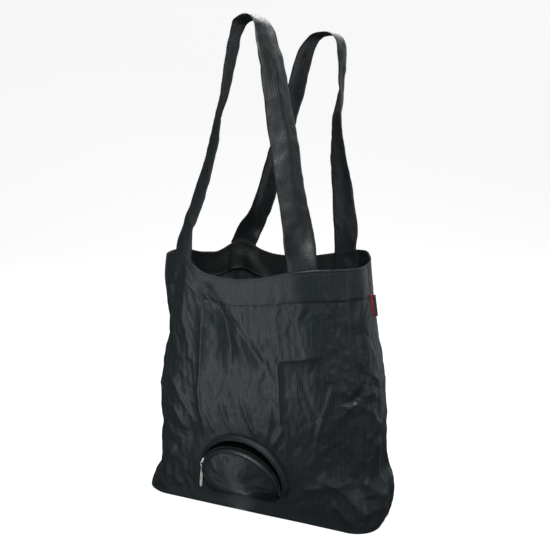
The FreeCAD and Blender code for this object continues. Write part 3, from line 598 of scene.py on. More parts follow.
# Back: upright folds, level folds, pulls from the strap roots (start arc, end arc, end rise),
# then slanting folds.
BACK_FOLDS = (
    [(2.6, 8, [(x, 372), (x + 4, 240), (x - 3, 20)]) for x in (-70, 68)]
    + [(3.4, 9, [(x, 380), (x + 3, 200), (x, 30)]) for x in (-160, 158)]
    + [(1.8, 6, [(-150, y - 4), (-20, y + 2), (140, y - 3)]) for y in (268, 150)]
    + [(-3.0, 10, [(start, 372), ((start + end) / 2, 330), (end, y)], (0.1, 0.5), 1, 1, "soft")
       for start, end, y in ((-92, -30, 250), (-96, -130, 270), (-88, 10, 300),
                             (98, 40, 260), (96, 136, 275), (100, 0, 310))]
    + [(2.8, 10, points) for points in (
        [(-180, 200), (-120, 150), (-80, 90)], [(190, 220), (140, 170), (100, 120)],
        [(-40, 130), (10, 90), (60, 70)], [(-200, 90), (-160, 50), (-120, 20)],
        [(205, 100), (165, 60), (130, 20)])])


def front_relief(arc, rise):
    relief = np.zeros_like(arc)
    # the left side falls away from its long fold
    left = np.maximum(-72 - arc, 0)
    relief += -0.16 * left * ease((rise - 40) / 120) * np.exp(-left / 60)
    add_folds(relief, arc, rise, LONG_FOLDS)
    # so does the right, more gently
    relief += (-0.055 * np.maximum(arc - 50, 0) * ease((160 - arc) / 30 + 1)
               * ease((rise - 20) / 80))
    add_folds(relief, arc, rise, UPPER_FOLDS)
    relief += level_change(arc, rise, [(40, 252), (84, 256), (124, 262)], depth=1.6, width=9)
    add_folds(relief, arc, rise, RIGHT_FOLDS)
    relief -= 4.5 * np.exp(-(np.hypot(arc - 164, rise - 199) / 10) ** 2)  # dimple
    add_folds(relief, arc, rise, LOWER_FOLDS)
    return relief


def back_relief(arc, rise):
    relief = np.zeros_like(arc)
    add_folds(relief, arc, rise, BACK_FOLDS)
    return relief


def pouch_mask(arc, rise, margin=26.0):
    """0 where the stow pouch is sewn down, rising to 1 away from it."""
    above = np.maximum(rise / math.cos(LEAN) - POUCH_Z - POUCH_RISE, 0)
    outside = np.hypot(arc - POUCH_X, above) - 76.0
    below = np.maximum(-(rise - 6.0), 0)
    return ease(np.maximum(outside, below) / margin)


def rim_height(arc, front):
    """Rim table read with its corners softened over 7 mm either side."""
    table = RIM_FRONT if front else RIM_BACK
    sides = np.interp(arc - 7, RIM_ARC, table) + np.interp(arc + 7, RIM_ARC, table)
    return (2 * np.interp(arc, RIM_ARC, table) + sides) / 4


def eased(z, knots, values, sigma=8.0):
    """Knot table read without corners: linear steps blurred over a few millimetres."""
    fine = np.arange(-60.0, 520.0, 1.0)
    kernel = np.exp(-0.5 * (np.arange(-30, 31) / sigma) ** 2)
    line = np.pad(np.interp(fine, knots, values), 30, mode="edge")
    return np.interp(z, fine, np.convolve(line, kernel / kernel.sum(), mode="valid"))


def half_outline(share, width, depth, radius):
    """Point on the front half of the rounded rectangle, from left seam (0) to right (1)."""
    radius = np.minimum(radius, depth / 2 - 0.01)
    side, corner, flat = depth / 2 - radius, math.pi * radius / 2, width - 2 * radius
    run = share * (2 * side + 2 * corner + flat)
    mirror = run > side + corner + flat / 2
    run = np.where(mirror, 2 * side + 2 * corner + flat - run, run)
    angle = np.clip((run - side) / radius, 0, math.pi / 2)
    x = np.where(run < side + corner, -width / 2 + radius - radius * np.cos(angle),
                 -width / 2 + radius + (run - side - corner))
    x = np.where(run < side, -width / 2, x)
    y = np.where(run < side + corner, -(depth / 2 - radius) - radius * np.sin(angle), -depth / 2)
    y = np.where(run < side, -run, y)
    return np.where(mirror, -x, x), y


def outward_normals(points, front):
    normals = grid_normals(points)
    i, j = points.shape[0] // 2, points.shape[1] // 2
    return -normals if (normals[i, j, 1] > 0) == front else normals


class Panel:
    """Outer surface of the front or back, as a grid over cloth coordinates."""

    def __init__(self, points, arcs, rises, front):
        self.points, self.arcs, self.rises, self.front = points, arcs, rises, front
        self.normals = outward_normals(points, front)
        self.uv = np.stack(np.meshgrid(arcs, rises), -1) * MM

    def at(self, arc, rise, off=0.0):
        """Points moved off along the normals (+ outward), and the normals."""
        arc, rise = np.broadcast_arrays(np.asarray(arc, float), np.asarray(rise, float))
        i = np.clip(np.searchsorted(self.rises, rise) - 1, 0, len(self.rises) - 2)
        j = np.clip(np.searchsorted(self.arcs, arc) - 1, 0, len(self.arcs) - 2)
        v = ((rise - self.rises[i]) / (self.rises[i + 1] - self.rises[i]))[..., None]
        u = ((arc - self.arcs[j]) / (self.arcs[j + 1] - self.arcs[j]))[..., None]
        points, normals = (
            (grid[i, j] * (1 - u) + grid[i, j + 1] * u) * (1 - v)
            + (grid[i + 1, j] * (1 - u) + grid[i + 1, j + 1] * u) * v
            for grid in (self.points, self.normals))
        normals = unit(normals)
        return points + normals * np.asarray(off, float)[..., None], normals


def panel_relief(arc, rise, front):
    """Height of all folds, wrinkles, seams and hem over the smooth panel."""
    wall = np.clip(rise, 0, RIM)
    relief = (front_relief if front else back_relief)(arc, wall)
    relief += crinkle(arc, wall, 260, 5 if front else 9)
    relief += 1.6 * fbm(arc, wall, 90, 3, 21 if front else 31)
    # warped ridges, weaker over the middle: gain, size across, size up, seed
    warp_x = 9 * fbm(arc, wall, 50, 2, 81)
    warp_y = 9 * fbm(arc, wall, 50, 2, 83)
    ridges = 0
    for gain, wide, tall, seed in ((0.9, 30, 95, 91), (0.55, 34, 30, 92), (0.30, 12, 24, 93)):
        seed += 0 if front else 4
        noise = fbm((arc + warp_x) / wide, (wall + warp_y) / tall, 1.0, 2, seed)
        ridges = ridges + gain * (1 - 2 * np.abs(noise))
    calm = 0.42 + 0.52 * ease((np.abs(arc - 20) - 95) / 50)
    relief += calm * (ridges - 0.7)
    # quiet beside the seams, at the foot and near the rim
    from_seam = PANEL / 2 - np.abs(arc)
    relief = (relief * ease(from_seam / 10) * ease((rise - 1.0) / 26)
              * (0.45 + 0.55 * ease((RIM - rise) / 60)))
    if front:
        relief = relief * pouch_mask(arc, rise)
        # bulge along the bottom edge
        bulge = np.interp(arc, [-219, -185, -150, -60, 40, 150, 219], [0, 6, 13, 10, 6, 3, 1])
        relief += bulge * np.exp(-np.maximum(rise, 0) / 14) * ease((rise + 0.5) / 3)
    # the sewn side seams are drawn in a little
    relief -= 1.6 * np.exp(-(from_seam / 5) ** 2) * ease(rise / 30)
    # the doubled hem band stands proud, with puckered stitch grooves along both its edges
    pucker = 1 + 0.5 * fbm(arc, rise * 0, 7, 2, 61)
    shown = 0.3 + 0.7 * ease((arc + 120) / 80) if front else 1.0
    relief += shown * 0.9 * ease((rise - (RIM - HEM)) / 1.8)
    relief -= shown * pucker * (0.8 * np.exp(-((rise - (RIM - HEM_GROOVE)) / 1.5) ** 2)
                                + 0.4 * np.exp(-((rise - (RIM - RIM_GROOVE)) / 1.3) ** 2))
    relief += (0.5 * fbm(arc, rise * 0, 9, 2, 63)
               * np.exp(-(np.maximum(RIM - 44 - rise, 0) / 7)) * ease((RIM - 42 - rise) / 2))
    return relief


def build_panel(front):
    """One panel: rows from the base seam out to the bottom edge and up to the rim."""
    share = np.linspace(0, 1, 221)
    bend = FOOT_RADIUS * math.pi / 2
    rises = np.concatenate([-np.linspace(52.6, FOOT_RADIUS, 16),
                            np.linspace(0, bend, 6)[:-1], np.linspace(bend, RIM, 216)])
    turn = np.clip(rises / FOOT_RADIUS, 0, math.pi / 2)
    inset = np.where(rises < bend, FOOT_RADIUS * (1 - np.sin(turn)), 0)
    inset = np.where(rises < 0, np.maximum(-rises, FOOT_RADIUS), inset)[:, None]
    z = np.where(rises < bend, FOOT_RADIUS * (1 - np.cos(turn)),
                 FOOT_RADIUS + (rises - bend) * (RIM - FOOT_RADIUS) / (RIM - bend))
    z = np.where(rises < 0, 0, z)[:, None]
    arcs = (share - 0.5) * PANEL
    arc, rise = np.meshgrid(arcs, rises)
    z = z + (rim_height(arc, front) - RIM) * np.clip(z / RIM, 0, 1) ** 2.4
    width = eased(z, PLAN_Z, PLAN_WIDTH) - 2 * inset
    depth = BASE_DEPTH + 2 * z * math.tan(LEAN) - 2 * inset
    radius = np.maximum(eased(z, PLAN_Z, PLAN_RADIUS) - inset, 1.0)
    x, y = half_outline(share[None] + 0 * z, width, np.maximum(depth, 0.4), radius)
    points = np.stack([x, y if front else -y, z], -1)
    normals = outward_normals(points, front)
    # distance round the shell from each silhouette line: the right one lies 28 mm behind its
    # seam, the left one 38 mm in front of its seam
    right = 28 + (PANEL / 2 - arc) if front else np.abs((PANEL / 2 - arc) - 28)
    left = np.abs((arc + PANEL / 2) - 38) if front else 38 + (arc + PANEL / 2)
    left_reach = 42 + 46 * ease((z - 22) / 60)
    sway = (eased(z, SWAY_Z, SWAY_RIGHT, 5.0) * np.exp(-(right / 95) ** 2)
            + eased(z, SWAY_Z, SWAY_LEFT, 5.0) * np.exp(-(left / left_reach) ** 2))
    points = points + normals * panel_relief(arc, rise, front)[..., None]
    points[..., 0] += sway
    # hold the widest parts within about 198 mm of the middle
    beyond = np.maximum(np.abs(points[..., 0]) - 194.0, 0.0)
    points[..., 0] -= np.sign(points[..., 0]) * (beyond - 3.6 * np.tanh(beyond / 3.6))
    points[..., 2] = np.maximum(points[..., 2], 0.05)
    return Panel(points, arcs, rises, front)


# Threads of the cloth solver: rows apart, columns apart, stiffness, share of the extra cloth.
SOLVER_THREADS = ((0, 1, 0.50, 1.1), (1, 0, 0.50, 0.45), (1, 1, 0.22, 0.75), (1, -1, 0.22, 0.75),
                  (0, 2, 0.10, 0.6), (2, 0, 0.10, 0.3), (0, 4, 0.035, 0.35), (4, 0, 0.035, 0.2))


def solver_links(start, room):
    """Pairs of grid slices with their rest lengths and stiffness."""
    rows, cols = start.shape[:2]
    links = []
    for down, over, stiffness, extra in SOLVER_THREADS:
        near = (slice(0, rows - down), slice(max(-over, 0), min(cols, cols - over)))
        far = (slice(down, rows), slice(max(over, 0), min(cols, cols + over)))
        length = np.linalg.norm(start[far] - start[near], axis=-1)
        grown = 1 + (0.5 * (room[near] + room[far]) - 1) * extra
        links.append((near, far, (length * grown)[..., None], stiffness))
    return links


def relax(start, shape, links, free, rounds):
    """Position-based solve; free is 0 where the cloth is held."""
    speed_kept, step_share, pull_home = 0.80, 0.62, 0.004
    speed = np.zeros_like(shape)
    for _ in range(rounds):
        moved = shape + speed_kept * speed
        for _ in range(3):
            push = np.zeros_like(moved)
            for near, far, rest, stiffness in links:
                span = moved[far] - moved[near]
                length = np.maximum(np.linalg.norm(span, axis=-1, keepdims=True), 1e-6)
                pull = span * (0.5 * stiffness * (1 - rest / length))
                push[near] += pull
                push[far] -= pull
            moved = moved + push * free * step_share
        moved = moved + (start - moved) * pull_home
        speed = moved - shape
        shape = moved
    return shape


def settle(panels, rounds=170, grow=0.020, cap=7.5):
    """Give both panels a little too much cloth, hold their edges and pouch, let them buckle.

    The solve runs on every second row and column. The shift of every point, at most cap, is
    then spread to the fine grid. The front panel comes first; the back follows its seams.
    """
    for panel in panels:
        arc, rise = panel.uv[..., 0] / MM, panel.uv[..., 1] / MM
        row_count, col_count = arc.shape
        first = int(np.searchsorted(panel.rises, 0.0))
        rows = np.unique(np.concatenate([np.arange(first, row_count, 2), [row_count - 1]]))
        cols = np.arange(0, col_count, 2)
        pick = np.ix_(rows, cols)
        start, normals = panel.points[pick].copy(), panel.normals[pick]
        across, up = arc[pick], rise[pick]
        # held at the bottom edge, hem, side seams and pouch
        hold = 1 - ease((up - 3) / 22)
        hold = np.maximum(hold, 0.9 * ease((up - (RIM - 50)) / 10))
        hold = np.maximum(hold, 0.7 * (1 - ease((PANEL / 2 - np.abs(across)) / 9)))
        calm = 0.8
        if panel.front:
            hold = np.maximum(hold, 1 - ease(pouch_mask(across, up, 16.0) * 1.3))
            calm = 0.30 + 0.70 * ease((np.abs(across) - 75) / 60)
        free = np.clip(1 - hold, 0, 1)[..., None]
        room = 1 + grow * calm * ease((1 - hold) * 2)
        nudge = (0.5 * fbm(across, up, 26, 2, 301 if panel.front else 302)
                 + 0.5 * fbm(across + 0.5 * up, up - 0.5 * across, 18, 2, 303))
        shape = start + normals * nudge[..., None] * free
        shift = relax(start, shape, solver_links(start, room), free, rounds) - start
        size = np.linalg.norm(shift, axis=-1, keepdims=True)
        shift = shift * np.minimum(1, cap / np.maximum(size, 1e-6))
        fine = np.zeros(panel.points.shape)
        for k in range(3):
            wide = np.array([np.interp(np.arange(col_count), cols, line)
                             for line in shift[..., k]])
            fine[..., k] = np.array([np.interp(np.arange(row_count), rows, line, left=0)
                                     for line in wide.T]).T
        blurred = fine.copy()
        blurred[1:-1, 1:-1] = (fine[1:-1, 1:-1] * 4 + fine[:-2, 1:-1] + fine[2:, 1:-1]
                               + fine[1:-1, :-2] + fine[1:-1, 2:]) / 8
        if panel.front:
            seam_left, seam_right = blurred[:, 0].copy(), blurred[:, -1].copy()
        else:
            fade = ease((PANEL / 2 - np.abs(arc)) / 14)[..., None]
            seam = np.where(arc[..., None] < 0, seam_left[:, None], seam_right[:, None])
            blurred = blurred * fade + seam * (1 - fade)
        panel.points = panel.points + blurred
        panel.points[..., 2] = np.maximum(panel.points[..., 2], 0.05)
        panel.normals = outward_normals(panel.points, panel.front)


FRONT, BACK = build_panel(True), build_panel(False)
PANELS = (("front", FRONT), ("back", BACK))
settle([FRONT, BACK])
for key, panel in PANELS:
    sheet(key + "_shell", panel.points, panel.normals, SKIN, panel.uv, CLOTH,
          body="bag", replaces=[key + "_panel"], slot="ripstop")


def facing(key, panel):
    """Hem facing inside the mouth, bulging over the strap tails."""
    arc, rise = np.meshgrid(np.linspace(-PANEL / 2 + 0.6, PANEL / 2 - 0.6, 200),
                            np.linspace(RIM - HEM, RIM - 0.4, 26))
    bulge = 2.0 * ease((27 - np.abs(np.abs(arc) - 92)) / 8)
    depth = SKIN + 0.5 + bulge + 0.5 * fbm(arc, rise, 30, 2, 77) ** 2
    points, normals = panel.at(arc, rise, -depth)
    sheet(key + "_facing", points, normals, 0.5, np.stack([arc, rise + 1.3], -1) * MM, INNER,
          body="bag", replaces=[key + "_hem_facing"], slot="ripstop")


for key, panel in PANELS:
    facing(key, panel)

# ------------------------------------------------------------------------------- stitches


def stitches(points, normals, length=2.4, gap=1.0, radius=0.28):
    """Row of sewn stitches along a line of points; each is a short bead on the cloth."""
    run = lengths_along(points)
    ring = np.linspace(0, 2 * math.pi, 6, endpoint=False)
    swell = (radius * np.array([0.35, 1.0, 1.0, 0.35]))[:, None, None]
    lift = np.array([-0.15, 0.12, 0.12, -0.15])[:, None, None]
    parts = []
    for k in range(int(run[-1] / (length + gap))):
        at = k * (length + gap) + np.array([0.0, 0.25, 0.75, 1.0]) * length
        line, up = (np.stack([np.interp(at, run, rows[:, i]) for i in range(3)], -1)
                    for rows in (points, normals))
        up = unit(up)
        side = unit(np.cross(up, unit(line[-1] - line[0])))
        parts.append(tube(line[:, None]
                          + up[:, None] * (lift + swell * np.sin(ring)[None, :, None])
                          + side[:, None] * (1.2 * swell * np.cos(ring)[None, :, None])))
    return merge(parts)


def stitch_piece(name, body, *row, **sizes):
    make(name, *stitches(*row, **sizes), None, THREAD, body=body, slot="binding")


seam_to_seam = np.linspace(-PANEL / 2 + 3, PANEL / 2 - 3, 400)
for key, panel in PANELS:
    for line, below in (("rim", RIM_GROOVE), ("hem", 44.0)):
        stitch_piece("stitch_%s_%s" % (line, key), "bag",
                     *panel.at(seam_to_seam, RIM - below, off=0.02))

# ------------------------------------------------------------------------------- straps

STRAP_HALF = 22.0
STRAP_INSIDE = 1.6  # depth of the tails inside the panel's outer face
TAIL_RISES = np.array([343.0, 356.0, 370.0, 381.0, 385.0])
ROOT_REACH = 34.0  # length over which the band still follows the curve of the rim
SECTION = 13  # points across each face


def strap_section():
    """Closed cross-section: width share and half thickness, outer face then inner face."""
    share = np.linspace(-1, 1, SECTION)
    edge = np.abs(share)
    half = (0.95 + 0.25 * np.exp(-((edge - 0.93) / 0.08) ** 2)
            - 0.35 * np.exp(-((edge - 0.84) / 0.05) ** 2))
    half = half * np.where(edge > 0.999, 0.35, 1.0)
    return np.concatenate([share, share[::-1]]), np.concatenate([half, -half[::-1]])


def strap(name, panel, outer, right, left, stations, replaces):
    """Flat doubled strap: two tails sewn inside the rim and a free band between them.

    outer is the Y direction of its outer face; right and left are (arc, width share) of the
    tails. Stations are listed from the right root to the left one.
    """
    across, half = strap_section()
    ends = []  # arc, width share, direction of the width, root point, angle of the rim
    for (arc, share), direction in ((right, 1), (left, -1)):
        point, normal = panel.at(arc, RIM)
        near, _ = panel.at(np.array([arc - 3.0, arc + 3.0]), RIM)
        angle = math.degrees(math.atan2(*(near[1] - near[0])[1::-1]))
        ends.append((arc, share, direction, point - normal * STRAP_INSIDE, angle))
    first, last = ends
    table = smooth_curve([(*(first[3] + [0, 0, 3]), first[4], first[1], 0.0)] + stations
                         + [(*(last[3] + [0, 0, 3]), last[4] - 180 * outer, last[1], 0.0)], 3.2)
    middle, turn, share, fold = table[:, :3], np.radians(table[:, 3]), table[:, 4], table[:, 5]
    tangent = unit(np.gradient(middle, axis=0))
    tangent[0], tangent[-1] = [0, 0, 1], [0, 0, -1]
    side = np.stack([np.cos(turn), np.sin(turn), 0 * turn], -1)
    side = unit(side - tangent * np.sum(side * tangent, -1, keepdims=True))
    normal = np.cross(tangent, side) * outer
    run = lengths_along(middle)
    along = run[:, None]
    width = across[None, :] * STRAP_HALF * share[:, None]
    width = width * (1 + 0.03 * fbm(along, np.sign(across)[None] * 40 + 100, 22, 2, 43))
    # waviness and crumpling of the band, then its fold down the middle
    every = along + 0 * width
    ripple = (1.2 * fbm(every, width + 100, 46, 3, 41 if outer < 0 else 51)
              + 0.5 * fbm(every, width * 1.6 + 50, 13, 2, 61))
    ripple = ripple + 0.7 * (1 - 2 * np.abs(fbm(
        (along + 0.7 * width) / 24, (width + 200) / 15, 1.0, 2, 67 if outer < 0 else 69)))
    off_middle = across[None, :] + 0.10 * np.sin(along / 37.0)
    vee = 1.55 * fold[:, None] * (0.5 - np.sqrt(off_middle ** 2 + 0.004))
    band = (middle[:, None] + side[:, None] * width[..., None]
            + normal[:, None] * (half[None, :] + vee + ripple)[..., None])
    inside = (half - STRAP_INSIDE)[:, None]
    for i in range(len(run)):
        for end, distance in ((first, run[i]), (last, run[-1] - run[i])):
            if distance >= ROOT_REACH:
                continue
            arc, _, direction, root, _ = end
            blend = ease(distance / ROOT_REACH)
            points, normals = panel.at(arc + direction * width[i], RIM)
            on_rim = (points + np.array([0, 0, 1.0]) * (middle[i, 2] - root[2])
                      + (middle[i] - root) * [1, 1, 0] + normals * inside)
            on_rim[:, 2] += (points[:, 2].mean() - points[:, 2]) * blend
            band[i] = on_rim * (1 - blend) + band[i] * blend
    tails = []
    for arc, share, direction, _, _ in ends:
        taper = share + (1 - share) * (RIM - TAIL_RISES[:, None]) / 42
        points, normals = panel.at(arc + direction * (across * STRAP_HALF * taper),
                                   TAIL_RISES[:, None])
        tails.append(points + normals * inside)
    grid = np.concatenate([tails[0], band, tails[1][::-1]])
    rows, cols = grid.shape[:2]
    run = lengths_along(grid[:, cols // 4])
    uv = np.stack(np.broadcast_arrays(across * STRAP_HALF, run[:, None]), -1) * MM
    y = float(middle[0, 1]) * MM
    blend = {"start": (0, y, 0.386), "end": (0, y, 0.424)}
    piece = make(name, *tube(grid), uv.reshape(-1, 2), STRAP)
    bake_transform(piece)
    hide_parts(*replaces)
    # stitching along both edges of both faces
    kept = grid[3:-3]
    over = unit(kept[:, SECTION - 1] - kept[:, 0])
    parts = []
    for face, column in ((1, 1), (1, SECTION - 2), (-1, 2 * SECTION - 2), (-1, SECTION + 1)):
        line = kept[:, column]
        out = unit(np.cross(unit(np.gradient(line, axis=0)), over)) * outer * face
        parts.append(stitches(line + out * 0.05, out, length=2.6, gap=1.1, radius=0.26))
    piece = make("stitch_" + name, *merge(parts), None, THREAD)
    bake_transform(piece)


# Strap stations: x, y, z, turn of the width direction in degrees, width share, fold height.
FRONT_STRAP = [
    (85, -91, 432, 42, 0.98, 1.0), (79.5, -90.5, 466, 52, 0.98, 2.5),
    (73, -90, 502, 57, 0.98, 4.0), (64.5, -89, 552, 57, 0.98, 5.0),
    (55, -88, 606, 61, 0.98, 5.0), (45, -87, 660, 68, 0.98, 4.0),
    (37, -86.5, 692, 77, 0.98, 2.5), (32, -86.2, 706, 83, 0.98, 1.5),
    (24, -86, 713.5, 87, 0.98, 0.5), (11, -86, 714.5, 90, 0.98, -1.0),
    (-3, -86.2, 710, 94, 0.98, 0.5), (-10, -86.4, 697, 97, 0.97, 2.0),
    (-17, -86.6, 668, 97, 0.96, 3.0), (-26, -87, 632, 101, 0.95, 4.0),
    (-35, -87.5, 594, 118, 0.93, 5.0), (-47, -88, 553, 136, 0.90, 5.0),
    (-63, -89, 503, 141, 0.86, 5.0), (-77.5, -90, 465, 142, 0.82, 5.0),
    (-89, -91, 435, 142, 0.78, 4.0)]
BACK_STRAP = [
    (86, 90.5, 428, -12, 0.97, 1.0), (82, 90.3, 464, -18, 0.96, 2.0),
    (78, 90, 502, -30, 0.96, 3.0), (73.5, 89, 545, -44, 0.95, 4.0),
    (72, 88.5, 590, -55, 0.95, 4.5), (76, 88, 640, -72, 0.96, 4.0),
    (78, 87.5, 672, -83, 0.96, 3.0), (76, 87, 694, -87, 0.96, 2.0),
    (68, 86.5, 706, -90, 0.96, 1.0), (52, 86.5, 709.5, -92, 0.96, -0.5),
    (36, 86.5, 708, -94, 0.96, 0.5), (24, 86.7, 698, -97, 0.96, 2.0),
    (15, 87, 681, -101, 0.96, 3.0), (5, 87.5, 648, -104, 0.96, 4.0),
    (-7, 88, 610, -107, 0.95, 4.0), (-21, 88.5, 567, -110, 0.94, 4.0),
    (-35, 89, 522, -112, 0.94, 4.0), (-48, 89.5, 478, -115, 0.92, 3.0),
    (-63, 90, 440, -120, 0.92, 2.0)]
strap("front_strap_band", FRONT, outer=-1, right=(91.0, 1.0), left=(-95.5, 0.74),
      stations=FRONT_STRAP, replaces=("front_strap", "front_strap_tails"))
strap("back_strap_band", BACK, outer=1, right=(90.0, 1.0), left=(-92.0, 0.96),
      stations=BACK_STRAP, replaces=("back_strap", "back_strap_tails"))

# ------------------------------------------------------------------------------- seams, labels


def binding(name, points, uv, replaces):
    thickness = 1.5
    normals = grid_normals(points)
    sheet(name, points + normals * thickness / 2, normals, thickness, uv, BINDING,
          body="bag", replaces=[replaces], slot="binding")


def side_binding(name, side, replaces):
    """Bound seam allowance standing inward along a side seam, waving a little."""
    rise = np.linspace(6, RIM - 47, 120)
    seam, _ = FRONT.at(side * (PANEL / 2 - 0.2), rise)
    wave = 2.2 * fbm(rise, 0 * rise, 40, 2, 91 + side)
    inward = unit(np.stack([-side * np.ones_like(rise), 0.12 * wave, 0 * rise], -1))
    reach = np.linspace(1.2, 8.6, 5)
    sideways = wave[:, None] * (reach[None] / 8.6) ** 1.5
    points = (seam[:, None] * [1, 0, 1] + inward[:, None] * reach[None, :, None]
              + np.array([0, 1.0, 0]) * sideways[..., None])
    uv = np.stack(np.broadcast_arrays(reach[None, :], rise[:, None]), -1) * MM
    binding(name, points, uv, replaces)


def base_binding():
    """Bound allowance of the seam along the middle of the base."""
    x, reach = np.meshgrid(np.linspace(-160, 160, 120), np.linspace(0, 7, 5))
    sideways = 1.6 * fbm(x, 0 * x, 50, 2, 17) * (reach / 7) ** 1.5
    points = np.stack([x, sideways, 1.0 + reach], -1)
    binding("seam_tape_base", points, np.stack([x, reach], -1) * MM, "base_seam_binding")


def loop_label(name, low, high, reach, side, material, replaces, slot, outside):
    """Folded tape caught in a side seam: two plies meeting at a rounded fold."""
    rise = np.linspace(low, high, 24)
    seam, _ = FRONT.at(side * (PANEL / 2 - 0.1), rise)
    root = -1.5 if outside else 1.0
    fold = [(reach - 0.8 + 0.8 * math.sin(t), 0.8 * math.cos(t))
            for t in np.linspace(0, math.pi, 9)]
    profile = np.array([(root, 0.75), (reach * 0.5, 0.85)] + fold
                       + [(reach * 0.5, -0.85), (root, -0.75)])
    curl = 0.8 * np.sin(np.linspace(0, 2.4, len(rise)))[:, None]
    out = np.maximum(profile[None, :, 0], 0)
    x = (side if outside else -side) * profile[:, 0]
    y = profile[None, :, 1] + curl * (out / reach) ** 2
    points = seam[:, None] * [1, 0, 1] + np.stack(np.broadcast_arrays(x, y, 0.0), -1)
    uv = np.stack(np.broadcast_arrays(out, rise[:, None]), -1) * MM
    normals = grid_normals(points)
    if normals[12, 1, 1] < 0:
        normals = -normals
    sheet(name, points, normals, 0.35, uv, material,
          body="bag", replaces=[replaces], slot=slot)


side_binding("seam_tape_right", 1, "right_seam_binding")
side_binding("seam_tape_left", -1, "left_seam_binding")
base_binding()
loop_label("tab_label", low=312, high=342, reach=9.0, side=1, material=LABEL,
           replaces="side_label", slot="label_tape", outside=True)
loop_label("inside_label", low=86, high=124, reach=24.0, side=-1, material=CARE,
           replaces="care_label", slot="care_tape", outside=False)

# ------------------------------------------------------------------------------- stow pouch


def on_panel(points):
    """Pouch coordinates (across, up the panel, outward) to the bag's frame."""
    points = np.asarray(points, float)
    x, up, out = points[..., 0], points[..., 1] + POUCH_Z, points[..., 2]
    cos, sin = math.cos(LEAN), math.sin(LEAN)
    y = -BASE_DEPTH / 2 - up * sin - out * cos
    return np.stack([POUCH_X + x, y, up * cos - out * sin], -1)


def on_flap(points):
    """Same, on the flap, which leans out about the pouch's lower seam."""
    points = np.asarray(points, float)
    cos, sin = math.cos(FLAP_LEAN), math.sin(FLAP_LEAN)
    up, out = points[..., 1], points[..., 2]
    return on_panel(np.stack([points[..., 0], up * cos - out * sin, up * sin + out * cos], -1))


OUTWARD = on_panel([0, 0, 1.0]) - on_panel([0, 0, 0.0])


def pouch_back():
    """Back of the pouch, a half-moon sewn flat to the panel, in near-black ripstop as painted
    shade inside the pouch.
    """
    radius = 72.0
    angle = np.linspace(math.pi, 0, 200)
    arch = np.stack([radius * np.cos(angle), POUCH_RISE + radius * np.sin(angle)], -1)
    outline = np.concatenate([[(-radius, 0.0)], arch, [(radius, 0.0)]])
    run = lengths_along(outline)
    even = np.linspace(0, run[-1], 140)
    outline = np.stack([np.interp(even, run, outline[:, i]) for i in (0, 1)], -1)
    outline[:, 0] *= np.interp(outline[:, 1], [0, 8, 30], [0.74, 0.80, 1.0])
    centre = np.array([0.0, 26.0])
    share = np.linspace(0, 1, 30)[1:]
    flat = centre + (outline[None] - centre) * share[:, None, None]
    crumple = 1 + fbm(flat[..., 0], flat[..., 1], 16, 3, 55)
    out = 0.7 + 0.35 * crumple * ease((1 - share[:, None]) / 0.15) * 0.9
    points = on_panel(np.concatenate([flat, out[..., None]], -1))
    sheet("pouch_pocket_back", points, np.broadcast_to(OUTWARD, points.shape), 0.5, flat * MM,
          POCKET_SHADE_CLOTH, body="bag", replaces=["pouch_back_panel"], slot="ripstop")


# Section of the lip: radial and outward offsets.
LIP_SECTION = np.array([
    (5.6, -1.7), (4.9, 0.6), (3.6, 3.2), (1.9, 5.2), (-0.2, 6.1), (-1.9, 5.9), (-2.9, 4.9),
    (-2.8, 3.7), (-1.6, 3.2), (-0.2, 2.9), (0.2, 1.4), (0.3, -0.8), (0.9, -1.9)])


def pouch_lip():
    """Cloth-covered lip over the zip, fullest at top and right, flatter at the slider."""
    angle = np.linspace(171, -7, 170)
    fullness = np.interp(angle, [-7, -3, 6, 40, 100, 140, 160, 171],
                         [0.25, 0.6, 1.0, 1.15, 1.0, 0.75, 0.5, 0.25])
    wave = 1 + 0.16 * fbm(angle, 0 * angle, 13, 2, 15)
    radius = 72.2 + LIP_SECTION[:, 0] * (fullness * wave)[:, None]
    out = 2.5 + LIP_SECTION[:, 1] * (fullness ** 0.7)[:, None]
    turn = np.radians(angle)[:, None]
    out = out + 0.35 * fbm(angle[:, None] + 0 * radius, radius * 2, 5, 2, 19)
    rings = np.stack([np.cos(turn) * radius, np.sin(turn) * radius + POUCH_RISE, out], -1)
    uv = np.stack(np.broadcast_arrays(radius, turn * 74), -1).reshape(-1, 2) * MM
    make("pouch_lip", *tube(on_panel(rings)), uv, LIP,
         body="bag", replaces=["pouch_piping"], slot="binding")
    line = on_panel(rings[:, 1])[4:-4]
    normals = np.broadcast_to(OUTWARD, line.shape)
    stitch_piece("stitch_pouch_lip", "bag", line + normals * 0.25, normals,
                 length=2.2, gap=1.0, radius=0.26)


